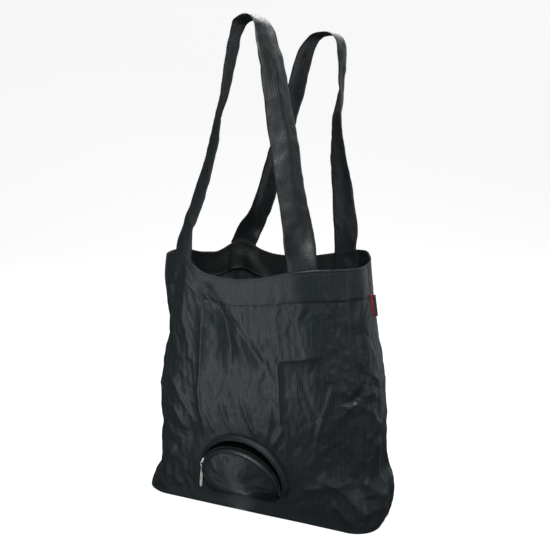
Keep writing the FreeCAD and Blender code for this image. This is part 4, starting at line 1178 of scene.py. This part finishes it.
def zip_tape(name, radius, width, angles, place, body, replaces):
    """Flat tape round the arch, with a straight leg down each side."""
    height, thickness, leg_points = 2.7, 0.7, 10
    x = np.linspace(-width / 2, width / 2, 5)
    edge = thickness / 2 - 0.3 * thickness / 2
    top = np.stack([x, np.where(np.abs(x) > width / 2 - 1e-6, edge, thickness / 2)], -1)
    profile = np.concatenate([top, top[::-1] * [1, -1]])
    turn = np.radians(np.linspace(*angles, 150))
    radial = np.stack([np.cos(turn), np.sin(turn)], -1)
    leg = POUCH_RISE - np.linspace(9, 2, leg_points)
    centre = np.concatenate([
        np.stack([np.full(leg_points, radius), leg], -1), radial * radius + [0, POUCH_RISE],
        np.stack([np.full(leg_points, -radius), leg[::-1]], -1)])
    radial = np.concatenate([np.tile([1.0, 0.0], (leg_points, 1)), radial,
                             np.tile([-1.0, 0.0], (leg_points, 1))])
    flat = centre[:, None] + radial[:, None] * profile[None, :, :1]
    out = np.broadcast_to(height + profile[None, :, 1:], flat.shape[:2] + (1,))
    run = lengths_along(centre)
    uv = np.stack(np.broadcast_arrays(profile[None, :, 0] + 50, run[:, None]), -1)
    make(name, *tube(place(np.concatenate([flat, out], -1))), uv.reshape(-1, 2) * MM, ZIP_TAPE,
         body=body, replaces=[replaces], slot="zip_tape")


def coil(name, inner, outer, angles, place, body, replaces):
    """Moulded coil teeth: one small rounded bar per tooth, between two radii."""
    height, pitch = 3.3, 1.45
    start, end = angles
    count = int(math.radians(end - start) * 0.5 * (inner + outer) / pitch)
    ring = np.linspace(0, 2 * math.pi, 6, endpoint=False)
    thick = np.array([0.30, 0.48, 0.48, 0.36])[:, None]
    bulge = np.array([0.0, 0.25, 0.25, 0.0])[:, None]
    out = height + bulge + thick * 1.5 * np.sin(ring)[None]
    parts = []
    for k in range(count):
        turn = math.radians(start + (end - start) * (k + 0.5) / count)
        radial = np.array([math.cos(turn), math.sin(turn)])
        along = np.array([-math.sin(turn), math.cos(turn)])
        centre = radial[None] * np.linspace(inner, outer, 4)[:, None] + [0, POUCH_RISE]
        flat = centre[:, None] + along[None, None] * (thick * np.cos(ring)[None])[..., None]
        parts.append(tube(place(np.concatenate([flat, out[..., None]], -1))))
    make(name, *merge(parts), None, TEETH, body=body, replaces=[replaces], slot="zip_teeth")


pouch_back()
pouch_lip()
zip_tape("zip_tape_upper", radius=71.0, width=4.6, angles=(2, 178), place=on_panel,
         body="bag", replaces="zip_tape_bag_side")
zip_tape("zip_tape_lower", radius=63.4, width=4.0, angles=(3, 177), place=on_flap,
         body="pouch_flap", replaces="zip_tape_pouch_side")
coil("coil_upper", inner=68.0, outer=70.4, angles=(4, 176), place=on_panel,
     body="bag", replaces="zip_teeth_bag_side")
coil("coil_lower", inner=64.6, outer=67.0, angles=(6, 174), place=on_flap,
     body="pouch_flap", replaces="zip_teeth_pouch_side")

# Front of the pouch: a gusset band rising from the zip, then a plump face gathered to it.
GUSSET_RADIUS = 61.8
# Lower edge of the front from right to left: across, up.
POUCH_LOWER_EDGE = [
    (61.8, 28), (61.2, 27.4), (57, 26.6), (49, 25), (40, 20.5), (30, 13.5), (18, 8.5), (2, 6),
    (-22, 4), (-44, 2.6), (-55, 5.0), (-60.5, 13), (-61.8, 27)]
# Gusset section at its fullest: outward bow and height.
GUSSET_SECTION = [(0.0, 2.0), (0.3, 2.7), (0.9, 5.2), (3.3, 7.2), (4.0, 9.4), (3.7, 11.6),
                  (2.8, 13.2), (1.8, 13.9), (1.2, 13.8)]
# Folds on the face: depth, width, (across, up) points.
POUCH_FOLDS = (
    (2.6, 4.0, [(61, 31), (40, 33), (10, 26)]), (2.4, 3.6, [(58, 27), (34, 24), (2, 17)]),
    (2.0, 4.5, [(60, 38), (40, 43), (12, 42)]), (1.5, 3.5, [(61, 34), (48, 40), (34, 56)]),
    (2.2, 4.0, [(-60, 44), (-44, 34), (-20, 28)]), (1.9, 4.0, [(-58, 58), (-46, 46), (-34, 30)]),
    (1.4, 4.0, [(-56, 26), (-38, 20), (-10, 16)]), (1.2, 5.0, [(-10, 84), (-14, 62), (-6, 44)]),
    (-1.4, 4.5, [(46, 60), (30, 52), (8, 50)]), (1.2, 5.0, [(-40, 78), (-34, 62), (-20, 50)]),
    (1.1, 4.5, [(24, 82), (22, 66), (12, 52)]))


def pouch_front_grid():
    """Grid in flap coordinates, run along its outline, gusset rows, and arch columns."""
    angle = np.linspace(180, 0, 110)
    turn = np.radians(angle)
    arch = np.stack([GUSSET_RADIUS * np.cos(turn),
                     POUCH_RISE + GUSSET_RADIUS * np.sin(turn)], -1)
    loop = np.concatenate([arch, smooth_curve(POUCH_LOWER_EDGE, 2.0)[1:-1]])
    arch_count = len(arch)
    no_gusset = np.zeros(len(loop) - arch_count)
    spans = np.linalg.norm(np.roll(loop, -1, 0) - loop, axis=1)
    run = np.concatenate([[0], np.cumsum(spans)[:-1]])
    cycle = 2 * math.pi * run / spans.sum()
    tangent = unit(np.roll(loop, -1, 0) - np.roll(loop, 1, 0))
    outward = np.stack([-tangent[:, 1], tangent[:, 0]], -1)
    share = np.concatenate([np.sin(turn) ** 0.6, no_gusset])  # how much gusset shows
    bowed = np.concatenate([ease((150 - angle) / 35) * ease((angle + 4) / 22), no_gusset])

    def around(scale, shift, seed):
        """Noise that closes on itself round the loop."""
        return fbm(40 * np.cos(cycle) + 100, 40 * np.sin(cycle) + 100 + shift, scale, 2, seed)

    def row(flat, out):
        return np.concatenate([flat, out[:, None]], -1)

    foot = loop.copy()
    lower_limit = np.interp(np.abs(loop[arch_count:, 0]), [0, 52, GUSSET_RADIUS],
                            [0.0, 0.5, 27.0])
    foot[arch_count:, 1] = np.minimum(foot[arch_count:, 1], lower_limit)
    foot[:, 1] = np.maximum(foot[:, 1], 0.0)
    rows = [row(foot, np.full(len(loop), 0.7))]
    for bow, height in GUSSET_SECTION:
        pucker = 0.35 * around(3.0, 6.0 * height, 33) * ease((height - 4) / 4)
        flat = loop + outward * ((bow * bowed) + pucker * share)[:, None]
        out = 1.6 + (height - 1.6) * share + 0.25 * height * (1 - share)
        rows.append(row(flat, out))
    gusset_rows = len(rows)
    edge, edge_out = rows[-1][:, :2], rows[-1][:, 2]
    centre = np.array([-2.0, 36.0])
    for k in np.concatenate([[0.006, 0.016, 0.03], np.linspace(0.045, 0.985, 40)]):
        rest = 1 - k
        flat = centre + (edge - centre) * rest
        # plumpness by height, then by place across
        plump = np.interp(flat[:, 1], [-2, 6, 14, 26, 44, 62, 78, 92],
                          [5, 8, 12.5, 17.5, 21, 21.5, 18.5, 14.5])
        plump = plump * np.interp(flat[:, 0], [-62, -45, -10, 15, 40, 62],
                                  [0.78, 0.95, 1.0, 0.98, 0.80, 0.62])
        out = edge_out * rest ** 3 + (1 - rest ** 3.4) * plump
        gather = 0.75 * around(3.4, 10.0 * k, 71) * math.exp(-k / 0.16) * ease(k / 0.03)
        tuck = -1.1 * math.exp(-((k - 0.012) / 0.012) ** 2)
        rows.append(row(flat, out + gather + tuck))
    grid = np.array(rows)
    across, up = grid[..., 0], grid[..., 1]
    relief = np.zeros_like(across)
    for fold in POUCH_FOLDS:
        relief += crease(across, up, *fold, fade=(0.05, 0.5))
    relief += 0.9 * fbm(across, up, 26, 3, 23) + crinkle(across, up, 70, 3, 0.5)
    grid[..., 2] += relief * ease((np.arange(len(grid)) - gusset_rows) / 5.0)[:, None]
    return grid, run, gusset_rows, arch_count


def pouch_front():
    """The closed front piece, its stitching, and the cord along the gusset's upper edge."""
    grid, run, gusset_rows, arch_count = pouch_front_grid()
    outer = on_flap(grid)
    normals = grid_normals(np.concatenate([outer[:, -2:], outer, outer[:, :2]], 1))[:, 2:-2]
    if normals[-6, 50, 1] > 0:
        normals = -normals
    rows, cols = outer.shape[:2]
    count = rows * cols
    top = quads(rows, cols, wrap=True)
    rim = [[j, (j + 1) % cols, (j + 1) % cols + count, j + count] for j in range(cols)]
    cap = [(rows - 1) * cols + j for j in range(cols)]
    # wind all faces to suit the normals
    facing_way = np.cross(outer[-8, 51] - outer[-8, 50], outer[-7, 50] - outer[-8, 50])
    if np.dot(facing_way, normals[-8, 50]) < 0:
        top = top[:, ::-1]
        cap = cap[::-1]
    else:
        rim = [face[::-1] for face in rim]
    inner_cap = [i + count for i in cap][::-1]
    faces = top.tolist() + (top[:, ::-1] + count).tolist() + rim + [cap, inner_cap]
    verts = np.concatenate([outer.reshape(-1, 3), (outer - normals * 0.6).reshape(-1, 3)])
    uv = grid[..., :2].copy()
    uv[:gusset_rows, :, 0] = run
    uv[:gusset_rows, :, 1] = np.arange(gusset_rows)[:, None] * 1.9 - 60
    make("pouch_front", verts, faces, np.concatenate([uv.reshape(-1, 2)] * 2) * MM, CLOTH,
         body="pouch_flap", replaces=["pouch_front_panel", "pouch_gusset"], slot="ripstop")

    arch = slice(2, arch_count - 2)
    line, up = outer[gusset_rows + 2, arch], normals[gusset_rows + 2, arch]
    stitch_piece("stitch_pouch", "pouch_flap", line + up * 0.1, up,
                 length=2.2, gap=1.0, radius=0.24)
    line, up = outer[gusset_rows - 2, arch], normals[gusset_rows - 2, arch]
    tangent = unit(np.gradient(line, axis=0))
    side = unit(np.cross(tangent, up))
    rings = sweep(line + up * 0.1, unit(np.cross(side, tangent)), side, oval(0.8, 0.8, 10))
    uv = np.repeat(np.stack([0 * run[arch], run[arch]], -1), 10, 0) * MM
    make("pouch_seam_cord", *tube(rings), uv, BINDING, body="pouch_flap", slot="binding")


pouch_front()

# ------------------------------------------------------------------------------- zip hardware


def soft_box(width, depth, thickness, bevel):
    """Rounded slab centred on the origin, thickness along its third axis."""
    steps = 4
    corner = min(width, depth) * 0.28

    def ring(inset, z):
        half_x, half_y = width / 2 - inset, depth / 2 - inset
        radius = max(corner - inset, 0.05)
        points = []
        for k, (side_x, side_y) in enumerate(((1, 1), (-1, 1), (-1, -1), (1, -1))):
            for i in range(steps + 1):
                turn = math.radians(90 * k + 90 * i / steps)
                points.append((side_x * (half_x - radius) + radius * math.cos(turn),
                               side_y * (half_y - radius) + radius * math.sin(turn), z))
        return points

    turns = [math.pi / 2 * i / steps for i in range(steps + 1)]
    rings = [ring(bevel * (1 - math.sin(t)), -thickness / 2 + bevel * (1 - math.cos(t)))
             for t in turns]
    rings += [ring(bevel * (1 - math.cos(t)), thickness / 2 - bevel * (1 - math.sin(t)))
              for t in turns]
    return tube(np.array(rings))


def place_local(points, origin, first, second, third):
    return origin + points[:, :1] * first + points[:, 1:2] * second + points[:, 2:3] * third


def arch_frame(angle, radius):
    """Origin on the arch, then its radial, tangential and outward directions."""
    turn = math.radians(angle)
    cos, sin = math.cos(turn), math.sin(turn)
    x, y = radius * cos, POUCH_RISE + radius * sin
    origin = on_panel([x, y, 0.0])
    radial = unit(on_panel([x + cos, y + sin, 0.0]) - origin)
    return origin, radial, np.cross(OUTWARD, radial), OUTWARD


for side, angle in (("left", 183.0), ("right", -3.0)):
    origin, *axes = arch_frame(angle, 68.5)
    verts, faces = soft_box(width=11.5, depth=8.0, thickness=1.4, bevel=0.6)
    make("zip_end_tab_" + side, place_local(verts, origin + OUTWARD * 2.3, *axes), faces,
         verts[:, :2] * MM, LIP, body="bag", replaces=["zip_tab_" + side], slot="binding")
for side, angle in (("left", 172.2), ("right", 7.8)):
    origin, *axes = arch_frame(angle, ZIP_RADIUS)
    verts, faces = soft_box(width=4.4, depth=1.9, thickness=2.4, bevel=0.5)
    make("zip_end_stop_" + side, place_local(verts, origin + OUTWARD * 3.1, *axes), faces,
         None, STOP_METAL, body="bag", replaces=["zip_stop_" + side], slot="zip_metal")

SLIDER_ORIGIN, *SLIDER_AXES = arch_frame(SLIDER_ANGLE, ZIP_RADIUS)
RADIAL = SLIDER_AXES[0]


def slider():
    """Two shaped plates, a post, and a crown arched over the link's bar."""
    parts = []
    # width, depth, thickness, height of the middle, bevel, tapered
    for width, depth, thickness, height, bevel, tapered in (
            (8.2, 10.2, 1.0, 1.75, 0.4, True), (7.8, 10.6, 1.3, 4.9, 0.55, True),
            (1.6, 4.0, 2.6, 3.3, 0.2, False)):
        verts, faces = soft_box(width, depth, thickness, bevel)
        if tapered:
            y = verts[:, 1]
            verts[:, 0] *= 1.0 - 0.16 * ease((y + 1) / 6) - 0.05 * np.cos(y * 0.9)
        verts = place_local(verts, SLIDER_ORIGIN + OUTWARD * height, *SLIDER_AXES)
        parts.append((verts, faces))
    turn = np.linspace(0, math.pi, 16)
    path = np.stack([0 * turn, 3.1 * np.cos(turn), 5.3 + 2.9 * np.sin(turn) ** 0.8], -1)
    path = np.concatenate([[[0, 3.1, 4.6]], path, [[0, -3.1, 4.6]]])
    path = place_local(path, SLIDER_ORIGIN + RADIAL * 0.8, *SLIDER_AXES)
    across = np.tile(RADIAL, (len(path), 1))
    up = unit(np.cross(unit(np.gradient(path, axis=0)), across))
    parts.append(tube(sweep(path, across, up, oval(1.9, 0.66, 14))))
    make("slider_body", *merge(parts), None, ZIP_METAL,
         body="slider", replaces=["zip_slider"], slot="zip_metal")


# The link and puller hang from the crown, 11.5 degrees off the arch's tangent.
HANG = math.radians(SLIDER_ANGLE + 90.0 + 11.5)
DOWN = unit(on_panel([math.cos(HANG), math.sin(HANG), 0.0]) - on_panel([0, 0, 0.0]))
HANG_AXES = (unit(np.cross(OUTWARD, DOWN)), DOWN, OUTWARD)
AXLE = SLIDER_ORIGIN + OUTWARD * 6.9 + RADIAL * 1.2
LINK_HALF = 4.0  # half the link's length


def link():
    turn = np.linspace(0, 2 * math.pi, 40, endpoint=False)
    path = np.stack([2.3 * signed_power(np.cos(turn), 0.35),
                     LINK_HALF + LINK_HALF * signed_power(np.sin(turn), 0.35), 0 * turn], -1)
    path = place_local(path, AXLE, *HANG_AXES)
    tangent = unit(np.roll(path, -1, 0) - np.roll(path, 1, 0))
    out = np.tile(OUTWARD, (len(path), 1))
    rings = sweep(path, out, np.cross(tangent, out), oval(0.72, 0.62, 10))
    rows, cols = rings.shape[:2]
    faces = quads(rows + 1, cols, wrap=True) % (rows * cols)  # the last ring joins the first
    make("puller_link", rings.reshape(-1, 3), faces, None, ZIP_METAL,
         body="link", replaces=["pull_link"], slot="zip_metal")


def puller():
    """Long bar with a thicker head and a shallow groove along its outer face."""
    y = np.linspace(-1.9, 38.0, 40)[:, None]
    half_width = np.interp(y, [-1.9, -1.2, 0.5, 3.5, 6.5, 12, 31, 35.5, 37.3, 38.0],
                           [0.9, 1.5, 1.8, 1.75, 2.0, 2.15, 2.3, 2.15, 1.5, 0.7])
    half_thick = np.interp(y, [-1.9, -1.0, 1.2, 3.5, 6.5, 33, 36, 37.0],
                           [0.8, 1.35, 1.35, 0.8, 0.75, 0.75, 0.55, 0.3])
    turn = np.linspace(0, 2 * math.pi, 18, endpoint=False)
    x = signed_power(np.cos(turn), 0.55)
    z = signed_power(np.sin(turn), 0.75)
    groove = np.where((y > 9) & (y < 32) & (np.abs(x)[None] < 0.5) & (z[None] > 0), 0.62, 1.0)
    rings = np.stack(np.broadcast_arrays(half_width * x, y, half_thick * z * groove), -1)
    verts, faces = tube(rings)
    bar = AXLE + DOWN * (2 * LINK_HALF)
    make("puller_bar", place_local(verts, bar, *HANG_AXES), faces, None, PULLER_METAL,
         body="puller", replaces=["zip_puller"], slot="puller_metal")


slider()
link()
puller()

# ------------------------------------------------------------------------------- stage

FLOOR_HOT = 2.1  # glow of the bright wedge of paper
FLOOR_BASE = 0.055  # glow of the rest
ROOM = 0.035  # world light on everything but the camera


def paper_material():
    """Near-white paper for the camera; for other rays, a glow brightest ahead and left."""
    material, shader = new_material("studio_paper")
    shader.set("Base Color", (0.30, 0.30, 0.30, 1))
    shader.set("Roughness", 0.9)
    shader.set("Emission Color", (1, 1, 1, 1))
    shader.set("Emission Strength", 0.88)
    parts = shader.add("SeparateXYZ")
    shader.feed(parts.inputs[0], shader.object_place())
    x, y = parts.outputs[0], parts.outputs[1]

    def ramp(value, source, target=(0.0, 1.0)):
        return shader.remap(value, target, source, smooth=True)

    def times(first, second):
        return shader.math("MULTIPLY", first, second)

    # wedge between two bearings, in radians from -Y toward -X, fading close to the bag
    bearing = shader.math("ARCTAN2", times(x, -1.0), shader.math("SUBTRACT", -0.02, y))
    distance = shader.math("SQRT", shader.math("ADD", times(x, x), times(y, y)))
    beam = times(ramp(bearing, (0.16, 0.46)), ramp(bearing, (0.78, 0.54)))
    beam = times(beam, ramp(distance, (0.14, 0.50), (0.32, 1.0)))
    rear = times(ramp(y, (0.25, 0.75), (0.0, 0.22)), ramp(x, (0.20, 0.60)))
    beam = shader.math("MAXIMUM", beam, rear)
    base = ramp(y, (-0.15, 0.35), (FLOOR_BASE, FLOOR_BASE * 0.4))
    glow = shader.add("Emission")
    glow.inputs["Color"].default_value = (0.92, 0.98, 1.06, 1)
    shader.feed(glow.inputs["Strength"], shader.math("ADD", times(beam, FLOOR_HOT), base))
    split = shader.camera_split(seen=shader.surface.outputs[0], unseen=glow.outputs[0])
    shader.feed(shader.end, split)
    return material


def cyclorama():
    """Seamless paper sweep, in metres: floor curving up into a wall behind the bag."""
    curve_start, curve_radius = 2.2, 1.6
    curve = np.linspace(0.05, math.pi / 2, 16)
    y = np.concatenate([np.linspace(-4.0, curve_start, 32),
                        curve_start + curve_radius * np.sin(curve),
                        np.full(10, curve_start + curve_radius)])
    z = np.concatenate([np.zeros(32), curve_radius * (1 - np.cos(curve)),
                        np.linspace(1.75, 6, 10)])
    turn = math.radians(24.9)
    x, y = np.meshgrid(np.linspace(-6, 6, 30), y)
    z = np.broadcast_to(z[:, None], x.shape)
    verts = np.stack([x * math.cos(turn) - y * math.sin(turn),
                      x * math.sin(turn) + y * math.cos(turn), z - 0.0006], -1)
    make("studio_paper", verts.reshape(-1, 3) / MM, quads(*x.shape), None,
                  paper_material())


def aim(thing, target):
    thing.rotation_euler = (target - thing.location).to_track_quat("-Z", "Y").to_euler()


def area(name, azimuth, elevation, size, power, target_z=0.3):
    """Area light 2 m from its target; azimuth runs from the front (-Y) toward +X."""
    light = bpy.data.lights.new(name, "AREA")
    light.shape = "RECTANGLE"
    light.size, light.size_y = size
    light.energy = power
    lamp = bpy.data.objects.new(name, light)
    bpy.context.scene.collection.objects.link(lamp)
    turn, tip = math.radians(azimuth), math.radians(elevation)
    target = Vector((0, 0, target_z))
    lamp.location = target + 2.0 * Vector((math.sin(turn) * math.cos(tip),
                                           -math.cos(turn) * math.cos(tip), math.sin(tip)))
    aim(lamp, target)


def room():
    """White world for the camera, faint light for everything else."""
    world = bpy.data.worlds.new("studio")
    bpy.context.scene.world = world
    world.use_nodes = True
    shader = Shader(world.node_tree)
    end = shader.add("OutputWorld").inputs[0]
    outputs = []
    for strength in (1.0, ROOM):
        node = shader.add("Background")
        node.inputs[0].default_value = (1, 1, 1, 1)
        node.inputs[1].default_value = strength
        outputs.append(node.outputs[0])
    shader.feed(end, shader.camera_split(seen=outputs[0], unseen=outputs[1]))


def camera():
    data = bpy.data.cameras.new("photo_view")
    data.sensor_width = 36.0
    data.lens = 49.05
    holder = bpy.data.objects.new("photo_view", data)
    bpy.context.scene.collection.objects.link(holder)
    holder.location = (0.4698, -0.9955, 0.5691)
    aim(holder, Vector((0.00635, 0.00295, 0.3571)))
    bpy.context.scene.camera = holder


cyclorama()
area("key_soft", azimuth=24, elevation=40, size=(0.9, 1.0), power=26)
area("side_right", azimuth=58, elevation=6, size=(0.9, 1.2), power=2.2, target_z=0.55)
area("rim_right", azimuth=118, elevation=30, size=(0.6, 1.0), power=1.0)
area("back_soft", azimuth=172, elevation=58, size=(1.2, 1.0), power=36)
area("back_left", azimuth=238, elevation=40, size=(0.6, 1.0), power=3)
area("top_soft", azimuth=20, elevation=80, size=(1.1, 1.1), power=14)
room()
camera()
bpy.context.scene.view_settings.view_transform = "Standard"
